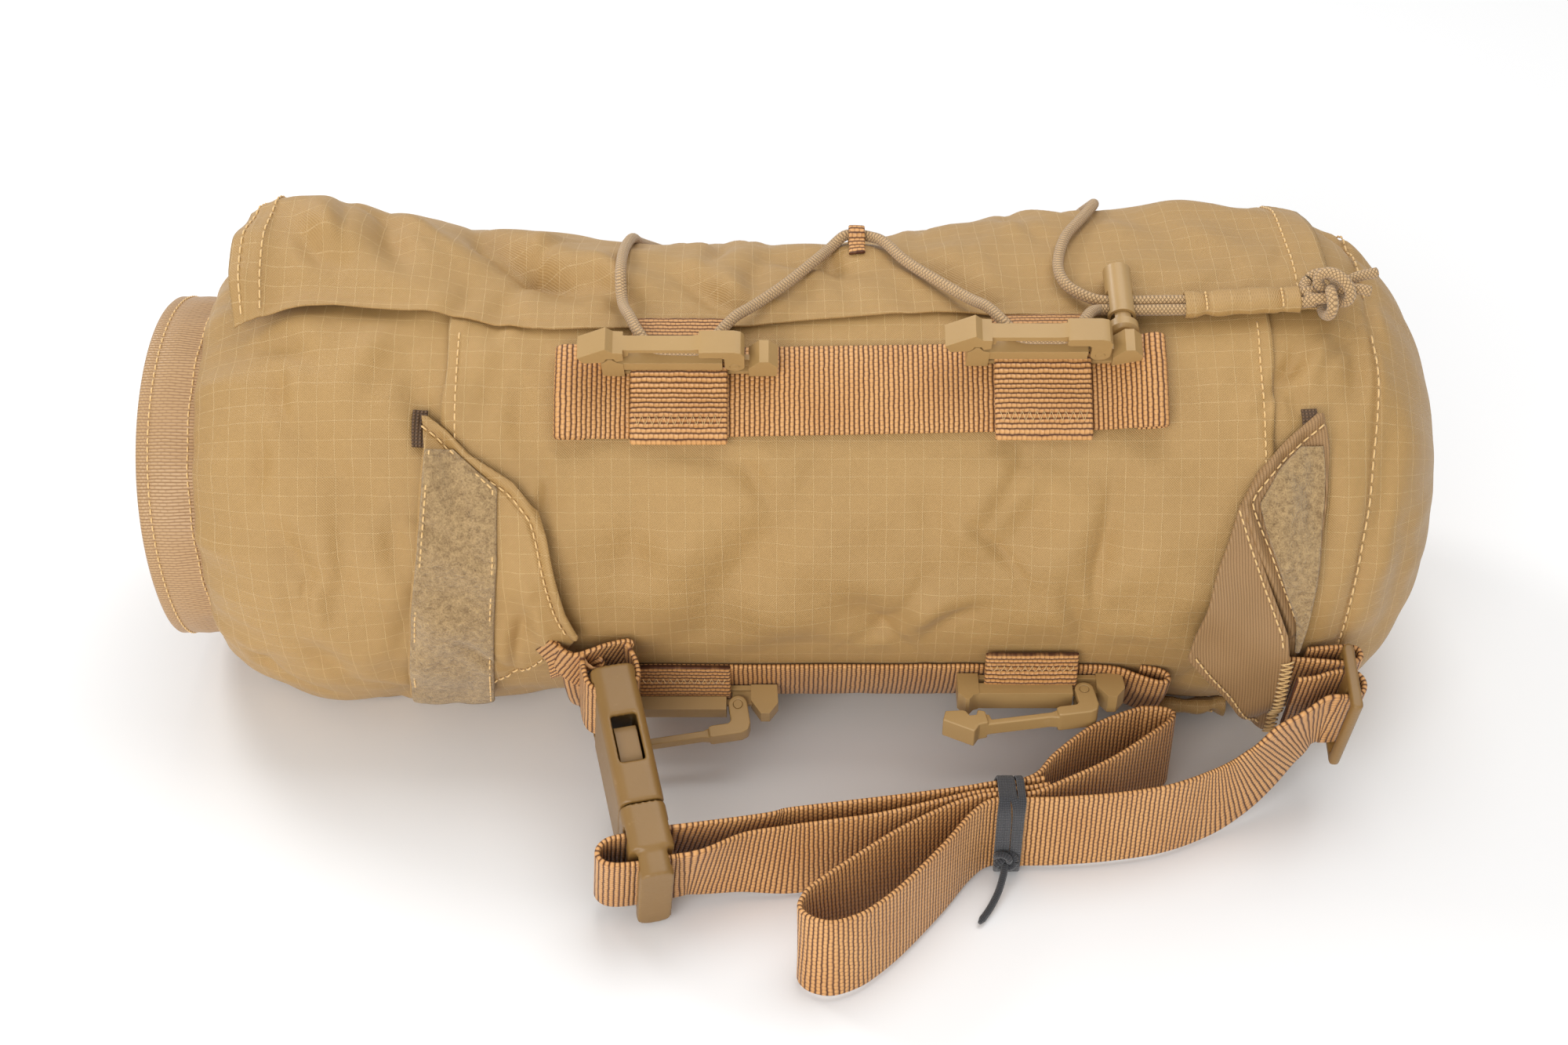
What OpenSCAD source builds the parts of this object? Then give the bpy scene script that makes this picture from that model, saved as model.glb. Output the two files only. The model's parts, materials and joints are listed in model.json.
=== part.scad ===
// Compression sack: a stuffed fabric cylinder lying on its side, laced with shock cord through
// webbing-mounted hooks, with two stowable belt wings, a side-release buckle and a bundled strap.
// X runs along the sack, Y away from the front, Z up. The sack rests on Z = 0.

/* [Sack] */
// Radius of the laced middle of the sack
sack_mid_r = 64; // [60:1:66]
// Extra radius of the bulging ends
end_bulge = 3.5; // [0:0.5:5]
// X of the left end, where the fabric gathers into the mouth collar
left_end_x = -181; // [-186:1:-176]
// X of the right end
right_end_x = 161; // [155:1:166]
// How far the underside is pressed flat, measured into the round section
rest_flat = 6.5; // [5:0.5:8]
// Thickness of the sack's cloth with its linings
cloth_t = 1.2; // [1:0.1:1.5]

/* [Webbing] */
// Width of the woven webbing
web_w = 25.4; // [24:0.1:26]
// Thickness of one layer of webbing
web_t = 1.4; // [1.2:0.1:1.5]

/* [Hooks] */
// X of the left pair of keepers and hooks
hook_left_x = -49.5; // [-51:0.5:-48]
// X of the right pair of keepers and hooks
hook_right_x = 45.5; // [44:0.5:47]
// How far the lower hooks' arms stand open, in degrees
lower_open = 9; // [7:1:11]

/* [Cord] */
// Diameter of the shock cord
cord_d = 3; // [2.6:0.1:3.1]

/* [Buckle] */
// Pitch of the buckle, rear end raised, in degrees
buckle_pitch = 19; // [18:0.5:20]
// Heading of the buckle's rear end, in degrees from +X
buckle_yaw = 103.9; // [103:0.1:105]

/* [Hidden] */
$fn = 48;

cloth_tan = [0.58, 0.44, 0.24];
web_tan = [0.62, 0.38, 0.18];
plastic_tan = [0.52, 0.40, 0.22];
cord_tan = [0.60, 0.46, 0.30];
pile_tan = [0.55, 0.45, 0.30];
tape_tan = [0.70, 0.50, 0.32];
gap = 0.1;
axis_z = sack_mid_r - rest_flat;
sack_mid_x = (left_end_x + right_end_x) / 2;
cord_r = cord_d / 2;

// ---- The sack's surface ----
function ramp(t) = let (c = min(max(t, 0), 1)) c * c * (3 - 2 * c);
function body_r(x) = sack_mid_r + end_bulge * ramp((abs(x - sack_mid_x) - 70) / 60);
function left_round(x) = let (e = min(max((left_end_x + 38 - x) / 38, 0), 1)) 20 * (1 - pow(1 - pow(e, 2.4), 1 / 2.4));
function right_round(x) = let (e = min(max((x - right_end_x + 40) / 40, 0), 1)) pow(1 - pow(e, 2.2), 1 / 2.2);
function sack_r(x) = (body_r(x) - left_round(x)) * right_round(x);
function on_sack(x, a, lift) = [x, -(sack_r(x) + lift) * cos(a), axis_z + (sack_r(x) + lift) * sin(a)];
function span(a, b, n) = [for (i = [0:n]) a + (b - a) * i / n];

// Turns a profile of [radius, x] points about the sack's long axis, from angle a0 to a1.
// Angle 0 faces the front (-Y) and 90 faces up.
module turned(a0, a1) {
    translate([0, 0, axis_z])
        rotate([90, 0, -90])
            rotate([0, 0, a0])
                rotate_extrude(angle = a1 - a0, $fn = 80)
                    mirror([0, 1])
                        children();
}

// A sheet laid on the sack between two x and two angles
module wrap(x0, x1, a0, a1, lift, t, n = 12) {
    turned(a0, a1)
        polygon(concat([for (x = span(x0, x1, n)) [sack_r(x) + lift, x]],
            [for (x = span(x1, x0, n)) [sack_r(x) + lift + t, x]]));
}

// The whole stuffed shape, drawn in by inset all round and flat underneath
module stuffed(inset) {
    xs = concat([left_end_x + inset], span(left_end_x + 2, left_end_x + 42, 10), span(left_end_x + 60,
        right_end_x - 46, 11), span(right_end_x - 38, right_end_x - 1.5, 10), [right_end_x - inset - 0.2]);
    intersection() {
        turned(0, 360)
            polygon(concat([[0, xs[0]]], [for (x = xs) [max(sack_r(x) - inset, 1), x]],
                [[0, xs[len(xs) - 1]]]));
        translate([-300, -100, inset])
            cube([600, 200, 200]);
    }
}

// Puts children on the sack: local X along the sack, local Y round it, local Z outwards
module place(x, a, lift, rock = 0) {
    translate(on_sack(x, a, lift))
        rotate([90 - a - rock, 0, 0])
            children();
}

// ---- Sweeps ----
function unit(v) = v / norm(v);
function tangent(P, i) = unit(P[min(i + 1, len(P) - 1)] - P[max(i - 1, 0)]);

// Closed skin over a stack of rings that each hold m points
module rings(pts, m) {
    n = len(pts) / m;
    sides = [for (i = [0:n - 2], j = [0:m - 1])
        [i * m + j, (i + 1) * m + j, (i + 1) * m + (j + 1) % m, i * m + (j + 1) % m]];
    polyhedron(pts, concat([[for (j = [0:m - 1]) j]], sides,
        [[for (j = [m - 1:-1:0]) (n - 1) * m + j]]), convexity = 10);
}

// Parallel-carried side directions along a path, so that a tube does not twist
function carried(P, s, i = 0) = i >= len(P) ? [] :
    let (t = tangent(P, i), c = unit(s - t * (s * t))) concat([c], carried(P, c, i + 1));

module tube(P, r, first = [0, 0.3, 1]) {
    S = carried(P, first);
    rings([for (i = [0:len(P) - 1], k = [0:7])
        P[i] + r * (cos(45 * k) * S[i] + sin(45 * k) * cross(tangent(P, i), S[i]))], 8);
}

// A flat band of width w and thickness t; each point carries the direction of its width
module band(P, U, w, t) {
    rings([for (i = [0:len(P) - 1], k = [0:3])
        let (u = unit(U[i]), s = unit(cross(tangent(P, i), u)))
            P[i] + u * w / 2 * [1, -1, -1, 1][k] + s * t / 2 * [1, 1, -1, -1][k]], 4);
}

// Outline of a strip of thickness t along a flat path
function left_of(P, i) = let (d = tangent(P, i)) [-d[1], d[0]];
function ribbon(P, t) = concat([for (i = [0:len(P) - 1]) P[i] + left_of(P, i) * t / 2],
    [for (i = [len(P) - 1:-1:0]) P[i] - left_of(P, i) * t / 2]);

// ---- Sack body ----
seam_left_x = left_end_x + 30;
seam_right_x = right_end_x - 31;

module skin_between(x0, x1) {
    intersection() {
        difference() {
            stuffed(0);
            stuffed(cloth_t);
        }
        translate([x0, -100, -1])
            cube([x1 - x0, 200, 200]);
    }
}

module sack_barrel() {
    color(cloth_tan)
        skin_between(seam_left_x, seam_right_x);
}

module left_end_shoulder() {
    color(cloth_tan)
        skin_between(left_end_x - 5, seam_left_x - gap);
}

module right_end_panel() {
    color(cloth_tan)
        skin_between(seam_right_x + gap, right_end_x + 5);
}

module packed_load() {
    color("dimgray")
        stuffed(cloth_t + 1.8);
}

// ---- Mouth ----
collar_r = 49;
collar_t = 1.8;
collar_left_x = -196;
collar_w = 14.8;

module mouth_collar() {
    color(tape_tan)
        turned(0, 360)
            translate([collar_r - collar_t, collar_left_x])
                square([collar_t, collar_w]);
}

module mouth_closure() {
    color(cloth_tan)
        turned(0, 360)
            polygon([[0, -186], [8, -185], [20, -187.5], [34, -186.5], [collar_r - collar_t - gap, -185],
                [collar_r - collar_t - gap, -183.4], [0, -183.4]]);
}

// ---- Cloth layers ----
panel_left_x = -111;
panel_right_x = 106;
layer_lift = 0.3;
flap_edge_a = 75;
flap_lift = 0.4;

module front_panel() {
    color(cloth_tan)
        wrap(panel_left_x, panel_right_x, -50, flap_edge_a - 0.3, layer_lift, cloth_t, 20);
}

module cover_flap() {
    color(cloth_tan)
        wrap(-168, 122, flap_edge_a, 168, flap_lift, cloth_t, 40);
}

module pocket_tape_left() {
    color(pile_tan)
        wrap(-119, -113, 26, 45, layer_lift, 0.8, 2);
}

module pocket_tape_right() {
    color(pile_tan)
        wrap(109, 115, 26, 45, layer_lift, 0.8, 2);
}

// ---- Webbing strips with a folded loop at each end ----
strip_lift = layer_lift + cloth_t + gap;
loop_left_x = -82;
loop_right_x = 78;

// Path of the folded end loop, from the strip's top out, round the end and back underneath
function loop_path(x_in, x_end) = let (s = sign(x_end - x_in), m = strip_lift)
    [[x_in, m + 0.7], [x_in + 2.5 * s, m + 2.4], [x_end - 4.5 * s, m + 3.9], [x_end - 1.9 * s, m + 3.6],
    [x_end - 0.7 * s, m + 2.3], [x_end - 1.9 * s, m + 1], [x_end - 4.5 * s, m + 0.72], [x_in + 4.6 * s, m + 0.7]];

module end_loop(x_in, x_end, a0, a1) {
    turned(a0, a1)
        polygon([for (p = ribbon(loop_path(x_in, x_end), web_t)) [sack_r(p[0]) + p[1], p[0]]]);
}

module strip(a0, a1) {
    color(web_tan) {
        wrap(hook_left_x - 21.6, hook_right_x + 26.6, a0, a1, strip_lift, web_t, 20);
        end_loop(hook_left_x - 21.5, loop_left_x, a0, a1);
        end_loop(hook_right_x + 26.5, loop_right_x + 5, a0, a1);
    }
}

module upper_strip() {
    strip(43, 63.5);
}

module lower_strip() {
    strip(-41, -21);
}

// ---- Keepers: short upright webbing bands that hold the hooks' rails ----
keeper_lift = strip_lift + web_t + gap;
rail_base = strip_lift + web_t + 0.35;
rail_t = 1.4;
upper_hook_a = [59, 61.5];
lower_hook_a = [-32, -25];
lower_rock = [6, 20];
lower_base = [rail_base + 0.4, rail_base + 1.1];

// A point of a hook's own frame, seen along the sack, as [y, z]
function hook_point(x, a, lift, rock, w, v) = let (p = on_sack(x, a, lift), b = a + rock)
    [p[1] - v * cos(b) + w * sin(b), p[2] + v * sin(b) + w * cos(b)];
function sack_point(x, a, lift) = [on_sack(x, a, lift)[1], on_sack(x, a, lift)[2]];

// The band lies on the strip, rises over the rail of its hook and comes down again
module keeper(x, a0, a1, at, rock, base) {
    flat = keeper_lift + web_t / 2;
    over = rail_t + web_t / 2 + 0.3;
    path = concat([for (a = span(a0, at - 8, 5)) sack_point(x, a, flat)],
        [hook_point(x, at, base, rock, -4, over), hook_point(x, at, base, rock, 4, over)],
        [for (a = span(at + 8, a1, 2)) sack_point(x, a, flat)]);
    color(web_tan)
        translate([x - web_w / 2, 0, 0])
            rotate([90, 0, 90])
                linear_extrude(web_w)
                    polygon(ribbon(path, web_t));
}

module keeper_upper_left() {
    keeper(hook_left_x, 41, 70, upper_hook_a[0], 0, rail_base);
}

module keeper_upper_right() {
    keeper(hook_right_x, 42, 71.5, upper_hook_a[1], 0, rail_base);
}

module keeper_lower_left() {
    keeper(hook_left_x, -50, -21, lower_hook_a[0], lower_rock[0], lower_base[0]);
}

module keeper_lower_right() {
    keeper(hook_right_x, -48, -14, lower_hook_a[1], lower_rock[1], lower_base[1]);
}

// ---- Hooks: a frame whose rail slides behind the keeper, and an arm that snaps shut over it ----
bar_low = 3.5;
bar_top = 7.4;
pivot_x = 14.6;
pivot_v = 5.8;
pin_r = 1.2;
knuckle_r = 2.6;
hook_w = 6.4;
arm_w = 4.2;
web_plate = 1.6;

// Extrudes a side view, drawn as x against height, to a depth across the hook
module side_view(depth) {
    rotate([90, 0, 0])
        translate([0, 0, -depth / 2])
            linear_extrude(depth)
                children();
}

module hook_frame() {
    color(plastic_tan) {
        side_view(5)
            translate([-20, 0])
                square([45.5, rail_t]);
        side_view(hook_w)
            polygon([[-20, 0], [-20, 7.2], [-19.2, 8], [-18, 9.7], [-17, 9.7], [-15.8, 8], [-14.2, 7.4],
                [-14.2, 0]]);
        side_view(6)
            translate([-14.3, bar_low])
                square([25.7, bar_top - bar_low]);
        side_view(web_plate) {
            translate([13, 0])
                square([5.4, 5]);
            translate([11.2, bar_low])
                square([3, 1.5]);
            translate([pivot_x, pivot_v])
                circle(r = 2.2);
        }
        side_view(hook_w)
            translate([pivot_x, pivot_v])
                circle(r = pin_r);
        side_view(hook_w)
            polygon([[18.2, 0], [18.2, 4.6], [21, 8.6], [23.4, 8.6], [25.8, 5.4], [25.5, 0]]);
    }
}

module arm_outline() {
    polygon([[pivot_x - knuckle_r, pivot_v], [12, 10.1], [11.2, 10.9], [6.5, 10.9], [4, 11.7], [-12.6, 11.7],
        [-12.9, 9.9], [-15.9, 8.7], [-16.6, 10.3], [-18.4, 10.3], [-19.1, 8.7], [-19.9, 8.1], [-24.6, 7.7],
        [-26, 10.8], [-18.4, 16.2], [-16.6, 14], [-13, 13.6], [3.5, 13.6], [6.5, 14.3],
        [14.4, 14.3], [16.3, 13.6], [17.2, 11.8], [pivot_x + knuckle_r, pivot_v]]);
}

module hook_arm() {
    color(plastic_tan)
        difference() {
            union() {
                side_view(arm_w)
                    arm_outline();
                side_view(hook_w)
                    intersection() {
                        arm_outline();
                        union() {
                            translate([5.5, 0])
                                square([20, 20]);
                            translate([-30, 0])
                                square([16, 20]);
                        }
                    }
                side_view(hook_w)
                    translate([pivot_x, pivot_v])
                        circle(r = knuckle_r);
            }
            side_view(hook_w + 1)
                translate([pivot_x, pivot_v])
                    circle(r = pin_r + 0.05);
            translate([pivot_x, 0, 0])
                side_view(web_plate + 0.6)
                    translate([-4, 0])
                        square([8, 8.9]);
        }
}

// Turns the arm open about its pin
module opened(deg) {
    translate([pivot_x, 0, pivot_v])
        rotate([0, deg, 0])
            translate([-pivot_x, 0, -pivot_v])
                children();
}

module hook_frame_upper_left() {
    place(hook_left_x, upper_hook_a[0], rail_base)
        hook_frame();
}

module hook_frame_upper_right() {
    place(hook_right_x, upper_hook_a[1], rail_base)
        hook_frame();
}

module hook_frame_lower_left() {
    place(hook_left_x, lower_hook_a[0], lower_base[0], lower_rock[0])
        hook_frame();
}

module hook_frame_lower_right() {
    place(hook_right_x, lower_hook_a[1], lower_base[1], lower_rock[1])
        hook_frame();
}

module hook_arm_upper_left() {
    place(hook_left_x, upper_hook_a[0], rail_base)
        hook_arm();
}

module hook_arm_upper_right() {
    place(hook_right_x, upper_hook_a[1], rail_base)
        hook_arm();
}

module hook_arm_lower_left() {
    place(hook_left_x, lower_hook_a[0], lower_base[0], lower_rock[0])
        opened(lower_open)
            hook_arm();
}

module hook_arm_lower_right() {
    place(hook_right_x, lower_hook_a[1], lower_base[1], lower_rock[1])
        opened(lower_open)
            hook_arm();
}

// ---- Shock cords: [x, angle, lift] points by hand ----
upper_a = 73.5;
lower_a = -46;
upper_route = [[118, 74.8, 4.6], [100, 74.8, 4.3], [86, 74.8, 4.4], [77, 74.8, 5.05], [62, 74.8, 5.8],
    [57, 77, 4.4], [53, 81, 3.8], [52, 88, 3.8], [55, 98, 3.8], [61, 108, 3.8], [66, 118, 3.8], [66, 130, 3.8],
    [60, 143, 3.8], [50, 150, 4], [38, 152, 3.9], [20, 154.4, 3.8], [0, 155, 3.8], [-20, 154.4, 3.8],
    [-38, 152, 3.9], [-50, 150, 4], [-60, 142, 3.8], [-64, 128, 3.8], [-65, 112, 3.8], [-66, 96, 3.8],
    [-66, 84, 4], [-65, 75, 6], [-62.5, 68, 9.4], [-59.5, 62.5, 12.35], [-56, 59.5, 12.45], [-49, 59, 12.45],
    [-43, 59.3, 12.45], [-39.5, 62.4, 12.35], [-35, 68, 9.4], [-30, 73, 6], [-22, 81, 4], [-14, 91, 3.8],
    [-9.5, 98.5, 3.8], [-5.5, 102.2, 3.9], [-2, 103, 4], [1.5, 102.4, 3.9], [5.5, 99.5, 3.8], [11, 91.5, 3.8],
    [19, 83, 3.9], [27, 75.5, 6], [31.5, 70.5, 9.4], [35.5, 65, 12.35], [39, 61.9, 12.45], [46, 61.5, 12.45],
    [52, 61.9, 12.45], [55.6, 65.2, 12.35], [58, 68.8, 9.4], [60, 71.4, 6.4], [62, 72.2, 5.8], [77, 72.2, 5.05],
    [86, 72.2, 4.4], [100, 72.2, 4.3], [118, 72.2, 4.6]];

module upper_shock_cord() {
    color(cord_tan)
        tube([for (p = upper_route) on_sack(p[0], p[1], p[2])], cord_r);
}

// Sewn cloth tunnel for both strands of a cord
module cord_channel(x0, x1, a, lift) {
    color(cloth_tan)
        difference() {
            wrap(x0, x1, a - 3.8, a + 3.8, lift - 2.4, 4.8, 6);
            wrap(x0 - 1, x1 + 1, a - 2.9, a + 2.9, lift - 1.7, 3.4, 6);
        }
}

module upper_cord_channel() {
    cord_channel(86, 111, upper_a, 4.35);
}

module lower_cord_channel() {
    cord_channel(80, 104, lower_a, 4.35);
}

// Overhand knot that stops the cord at the end of its channel
module upper_cord_knot() {
    color(cord_tan)
        place(121.4, upper_a, 7) {
            rotate([0, 90, 20])
                rotate_extrude($fn = 24)
                    translate([3, 0])
                        circle(r = 2.4, $fn = 20);
            translate([1.5, 0, 0])
                rotate([70, 0, 30])
                    rotate_extrude($fn = 24)
                        translate([2.8, 0])
                            circle(r = 2.2, $fn = 20);
            for (s = [-1, 1])
                translate([3, s * 1.5, 0])
                    rotate([0, 80, s * 14])
                        cylinder(r = cord_r, h = 9);
        }
}

// ---- Cord locks: a barrel with a cross slot, a sprung plunger and its spring ----
lock_x = 67;
lock_lift = 5.75;
barrel_r = 3.7;
barrel_len = 17;
bore_r = 2.9;
bore_len = 15.5;
slot_low = 1.2;
slot_high = 8;
slot_gap = 3.6;
cord_mid = 4.6;
press = 2.5;

// The lock's own axis runs along its plunger, with the cords crossing at cord_mid
module lock_frame() {
    place(lock_x, upper_a, lock_lift)
        rotate([-90, 0, 0])
            translate([0, 0, -cord_mid])
                children();
}

module lock_barrel() {
    color(plastic_tan)
        difference() {
            union() {
                cylinder(r = barrel_r, h = barrel_len - 0.6);
                translate([0, 0, barrel_len - 0.6])
                    cylinder(r1 = barrel_r, r2 = barrel_r - 0.6, h = 0.6);
            }
            translate([0, 0, -1])
                cylinder(r = bore_r, h = bore_len + 1);
            translate([-6, -slot_gap / 2, slot_low])
                cube([12, slot_gap, slot_high - slot_low]);
        }
}

module lock_plunger() {
    color(plastic_tan)
        difference() {
            union() {
                translate([0, 0, -3.2])
                    cylinder(r = bore_r - 0.08, h = 12.4);
                translate([0, 0, -5])
                    cylinder(r = 4.1, h = 2.2);
                translate([0, 0, -5.8])
                    cylinder(r1 = 3, r2 = 4.1, h = 0.8);
            }
            translate([-6, -slot_gap / 2, slot_low - press - 0.1])
                cube([12, slot_gap, slot_high - slot_low + press + 0.1]);
        }
}

// Drawn at the length it is pressed to
module lock_spring() {
    turns = 4;
    steps = 10;
    color("silver")
        tube([for (i = [0:turns * steps]) [2.2 * cos(360 * i / steps), 2.2 * sin(360 * i / steps),
            bore_len - 3.3 + 0.75 * i / steps]], 0.3, [1, 0, 0]);
}

module upper_lock_barrel() {
    lock_frame()
        lock_barrel();
}

module upper_lock_plunger() {
    lock_frame()
        lock_plunger();
}

module upper_lock_spring() {
    lock_frame()
        lock_spring();
}

// ---- Small webbing loops that carry the cord over the back ----
module cord_loop(x, a, lift, w) {
    floor_y = flap_lift + cloth_t + gap - lift;
    color(web_tan)
        place(x, a, lift)
            rotate([90, 0, 90])
                translate([0, 0, -w / 2])
                    linear_extrude(w)
                        difference() {
                            intersection() {
                                circle(r = 3.4);
                                translate([-5, floor_y])
                                    square(10);
                            }
                            circle(r = 2.1);
                        }
}

module back_loop_left() {
    cord_loop(-44, 151, 3.95, 6);
}

module back_loop_centre() {
    cord_loop(-2, 102.8, 4, 4.5);
}

module back_loop_right() {
    cord_loop(44, 151, 3.95, 6);
}

// ---- Belt wings: rows of [angle, left x, right x] ----
wing_t = 1.6;
wing_lift = layer_lift + cloth_t + 0.4;
left_wing_rows = [[45, -114, -110], [38, -115, -105], [29, -116, -95], [20, -118, -87], [10, -120, -84],
    [-3, -122, -79], [-16, -124, -80], [-26, -125, -92], [-33, -125, -110]];
right_wing_rows = [[45, 110, 114], [38, 104, 117], [31, 98, 119], [20, 95, 119], [6, 91, 118], [-8, 87, 117],
    [-18, 92, 117], [-28, 102, 116], [-38, 112, 116]];
left_pile_rows = [[38, -114.5, -106], [30, -115.5, -98], [10, -119.5, -98.5], [-12, -123, -101],
    [-31, -124.5, -103.5]];
right_pile_rows = [[38, 108, 116], [30, 103, 118], [16, 104, 118], [4, 107, 117], [-6, 111, 116]];

// A cloth piece over the sack, cols cells wide, from rows of angle and edge positions
function finer(rows, k) = concat([for (i = [0:len(rows) - 2], j = [0:k - 1])
    rows[i] + (rows[i + 1] - rows[i]) * j / k], [rows[len(rows) - 1]]);

module draped(rough_rows, lift, t) {
    cols = 4;
    rows = finer(rough_rows, ceil(24 / len(rough_rows)));
    m = 2 * cols + 2;
    rings([for (q = rows, j = [0:m - 1])
        let (k = j <= cols ? j : m - 1 - j, x = q[1] + (q[2] - q[1]) * k / cols)
            on_sack(x, q[0], j <= cols ? lift : lift + t)], m);
}

module left_wing() {
    color(cloth_tan)
        draped(left_wing_rows, wing_lift, wing_t);
}

module right_wing() {
    color(cloth_tan)
        draped(right_wing_rows, wing_lift, wing_t);
}

module left_wing_pile() {
    color(pile_tan)
        draped(left_pile_rows, wing_lift + wing_t + 0.1, 1);
}

module right_wing_pile() {
    color(pile_tan)
        draped(right_pile_rows, wing_lift + wing_t + 0.1, 1);
}

// ---- Buckle: local X runs from the male's end bar to the female's rear bar, Z across its width ----
buckle_foot = [-56, -125.6, 0.1];
buckle_len = 62;
buckle_w = 31;
buckle_t = 12;
split_u = 21;
cavity_half = 13.5;
cavity_t = 8;
wall_end_u = 51;
prong_root_u = 19.6;
prong_root_off = 9.6;

module buckle_frame() {
    translate(buckle_foot)
        rotate([0, -buckle_pitch, buckle_yaw])
            translate([0, 0, buckle_w / 2])
                children();
}

// Bar of rounded section along local X
module rounded_bar(u0, u1, t, w, r) {
    translate([u0, 0, 0])
        rotate([90, 0, 90])
            linear_extrude(u1 - u0) {
                square([t - 2 * r, w], center = true);
                square([t, w - 2 * r], center = true);
                for (sy = [-1, 1], sz = [-1, 1])
                    translate([sy * (t / 2 - r), sz * (w / 2 - r)])
                        circle(r = r);
            }
}

module block(u0, u1, t, w) {
    translate([u0, -t / 2, -w / 2])
        cube([u1 - u0, t, w]);
}

slot_w = 26.6;

module buckle_female() {
    color(plastic_tan)
        buckle_frame()
            difference() {
                rounded_bar(split_u + 0.3, buckle_len, buckle_t, buckle_w, 3);
                block(split_u - 1, wall_end_u, cavity_t, 2 * cavity_half);
                block(33, 47, 6.8, buckle_w + 2);
                block(54, 58.6, buckle_t + 2, slot_w);
            }
}

module buckle_male() {
    color(plastic_tan)
        buckle_frame()
            difference() {
                union() {
                    rounded_bar(8, split_u - 0.2, buckle_t, buckle_w, 3);
                    rounded_bar(0.4, 8.2, 9, buckle_w - 1, 3);
                    block(split_u - 1, 48, 5, 5);
                }
                block(3.4, 7.8, buckle_t + 2, slot_w);
                block(11.4, 15.8, buckle_t + 2, slot_w);
                for (s = [-1, 1])
                    translate([prong_root_u, -3.1, s * prong_root_off])
                        rotate([-90, 0, 0])
                            cylinder(r = 1.45, h = 6.2);
                for (s = [-1, 1])
                    translate([prong_root_u, -3.1, s * prong_root_off - 1.45])
                        cube([3, 6.2, 2.9]);
            }
}

// One springy prong, drawn on the upper side, with its latch tab inside the side window
module prong() {
    color(plastic_tan)
        rotate([90, 0, 0])
            translate([0, 0, -3])
                linear_extrude(6) {
                    translate([prong_root_u, prong_root_off])
                        circle(r = 1.4);
                    polygon([[prong_root_u, 8.7], [30, 8.3], [44, 8.3], [45.5, 9.2], [44.5, 12.4], [42, 13.15],
                        [36, 13.15], [34, 12.8], [34, 10.6], [30, 10.4], [prong_root_u, 10.5]]);
                }
}

module buckle_prong_top() {
    buckle_frame()
        prong();
}

module buckle_prong_bottom() {
    buckle_frame()
        mirror([0, 0, 1])
            prong();
}

// Strap threaded through both slots round the middle bar, in the buckle's own frame
loop_route = [[5.9, -15.6], [5.8, -6], [5.8, 0], [5.8, 5.5], [6.3, 10], [8.5, 13], [11.5, 13], [13.6, 10],
    [14, 5.5], [14, 0], [13.8, -6], [13.4, -17.4]];

module strap_buckle_loop() {
    color(web_tan)
        buckle_frame()
            translate([0, 0, -web_w / 2])
                linear_extrude(web_w)
                    polygon(ribbon(loop_route, web_t));
}

// Doubled webbing from the left wing's point to the buckle's rear bar
module buckle_tab() {
    P = [[-86, -68.6, 45.7], [-80, -71.2, 43], [-76, -72.8, 39.6], [-72.4, -72.4, 37.2]];
    U = [[-0.1, -0.1, 1], [-0.05, -0.15, 1], [0.02, -0.25, 1], [0.08, -0.3, 0.95]];
    color(web_tan)
        band(P, U, web_w, 2 * web_t);
}

// ---- Strap slider: a flat frame with a middle bar, standing out from the sack ----
slider_x = 128.5;
slider_a = -18;
slider_mid = 13.5;
slider_len = 32;

module strap_slider() {
    color(plastic_tan)
        place(slider_x, slider_a, slider_mid)
            difference() {
                union() {
                    translate([-1.5, -slider_len / 2, -8.5])
                        cube([3, slider_len, 17]);
                    for (s = [-1, 1])
                        translate([0, slider_len / 2, s * 8.4])
                            rotate([90, 0, 0])
                                cylinder(r = 1.6, h = slider_len);
                }
                for (s = [-1, 1])
                    translate([-3, -slot_w / 2, s * 5 - 2.5])
                        cube([6, slot_w, 5]);
            }
}

// Webbing from the right wing's point, through the slider's near slot and back
tab_route = [[-22.5, 5.2], [-14.5, 5.3], [-7.5, 6.4], [-2.5, 7], [0, 7], [3.3, 6.5], [4, 4.6], [3.3, 2.7],
    [0, 2.3], [-4.5, 2.9], [-8, 2.9]];

module slider_tab() {
    color(web_tan)
        place(slider_x, slider_a, 0)
            side_view(web_w)
                polygon(ribbon(tab_route, web_t));
}

// ---- Waist strap: stands on edge, folded into a bundle; points are [x, y, height of middle] ----
mid_z = web_w / 2 + 1.2;
outward = [0, -cos(slider_a), sin(slider_a)];
slider_up = [0, sin(slider_a), cos(slider_a)];
slider_turn = [[-11, 13], [-5, 10.6], [0, 9.9], [2.6, 10.6], [3.4, 13.5], [2.6, 16.6], [0, 17.3], [-6, 18]];
run_out = [[118, -82.5, 29.5], [113, -84.5, 26], [107, -87.5, 20.5], [100, -91, 16], [92, -95, mid_z],
    [80, -100.5, mid_z], [66, -103.5, mid_z], [52, -105, mid_z], [42.5, -105.3, mid_z], [33, -105.5, mid_z]];
near_loop = [[27, -110.5], [19, -122], [8, -136], [-4, -147], [-13, -149], [-18, -144], [-14, -136], [-4, -127],
    [8, -117], [20, -109], [28, -105], [33, -103.7], [42.5, -103.2]];
right_loop = [[52, -98.5], [66, -90], [78, -80], [84, -74], [82, -70.5], [74, -71], [62, -77.5], [51, -88], [45, -96]];
back_lead = [[42.5, -98.9], [33, -99.6], [26, -101], [12, -103.6], [-6, -106.6], [-24, -109], [-38.6, -110.4]];
front_lead = [[42, -101.1], [33, -101.6], [26, -103.4], [18, -106], [4, -110.5], [-12, -114], [-26, -116.4], [-38.6, -117.4]];

function flat_points(Q) = [for (q = Q) [q[0], q[1], mid_z]];

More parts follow.
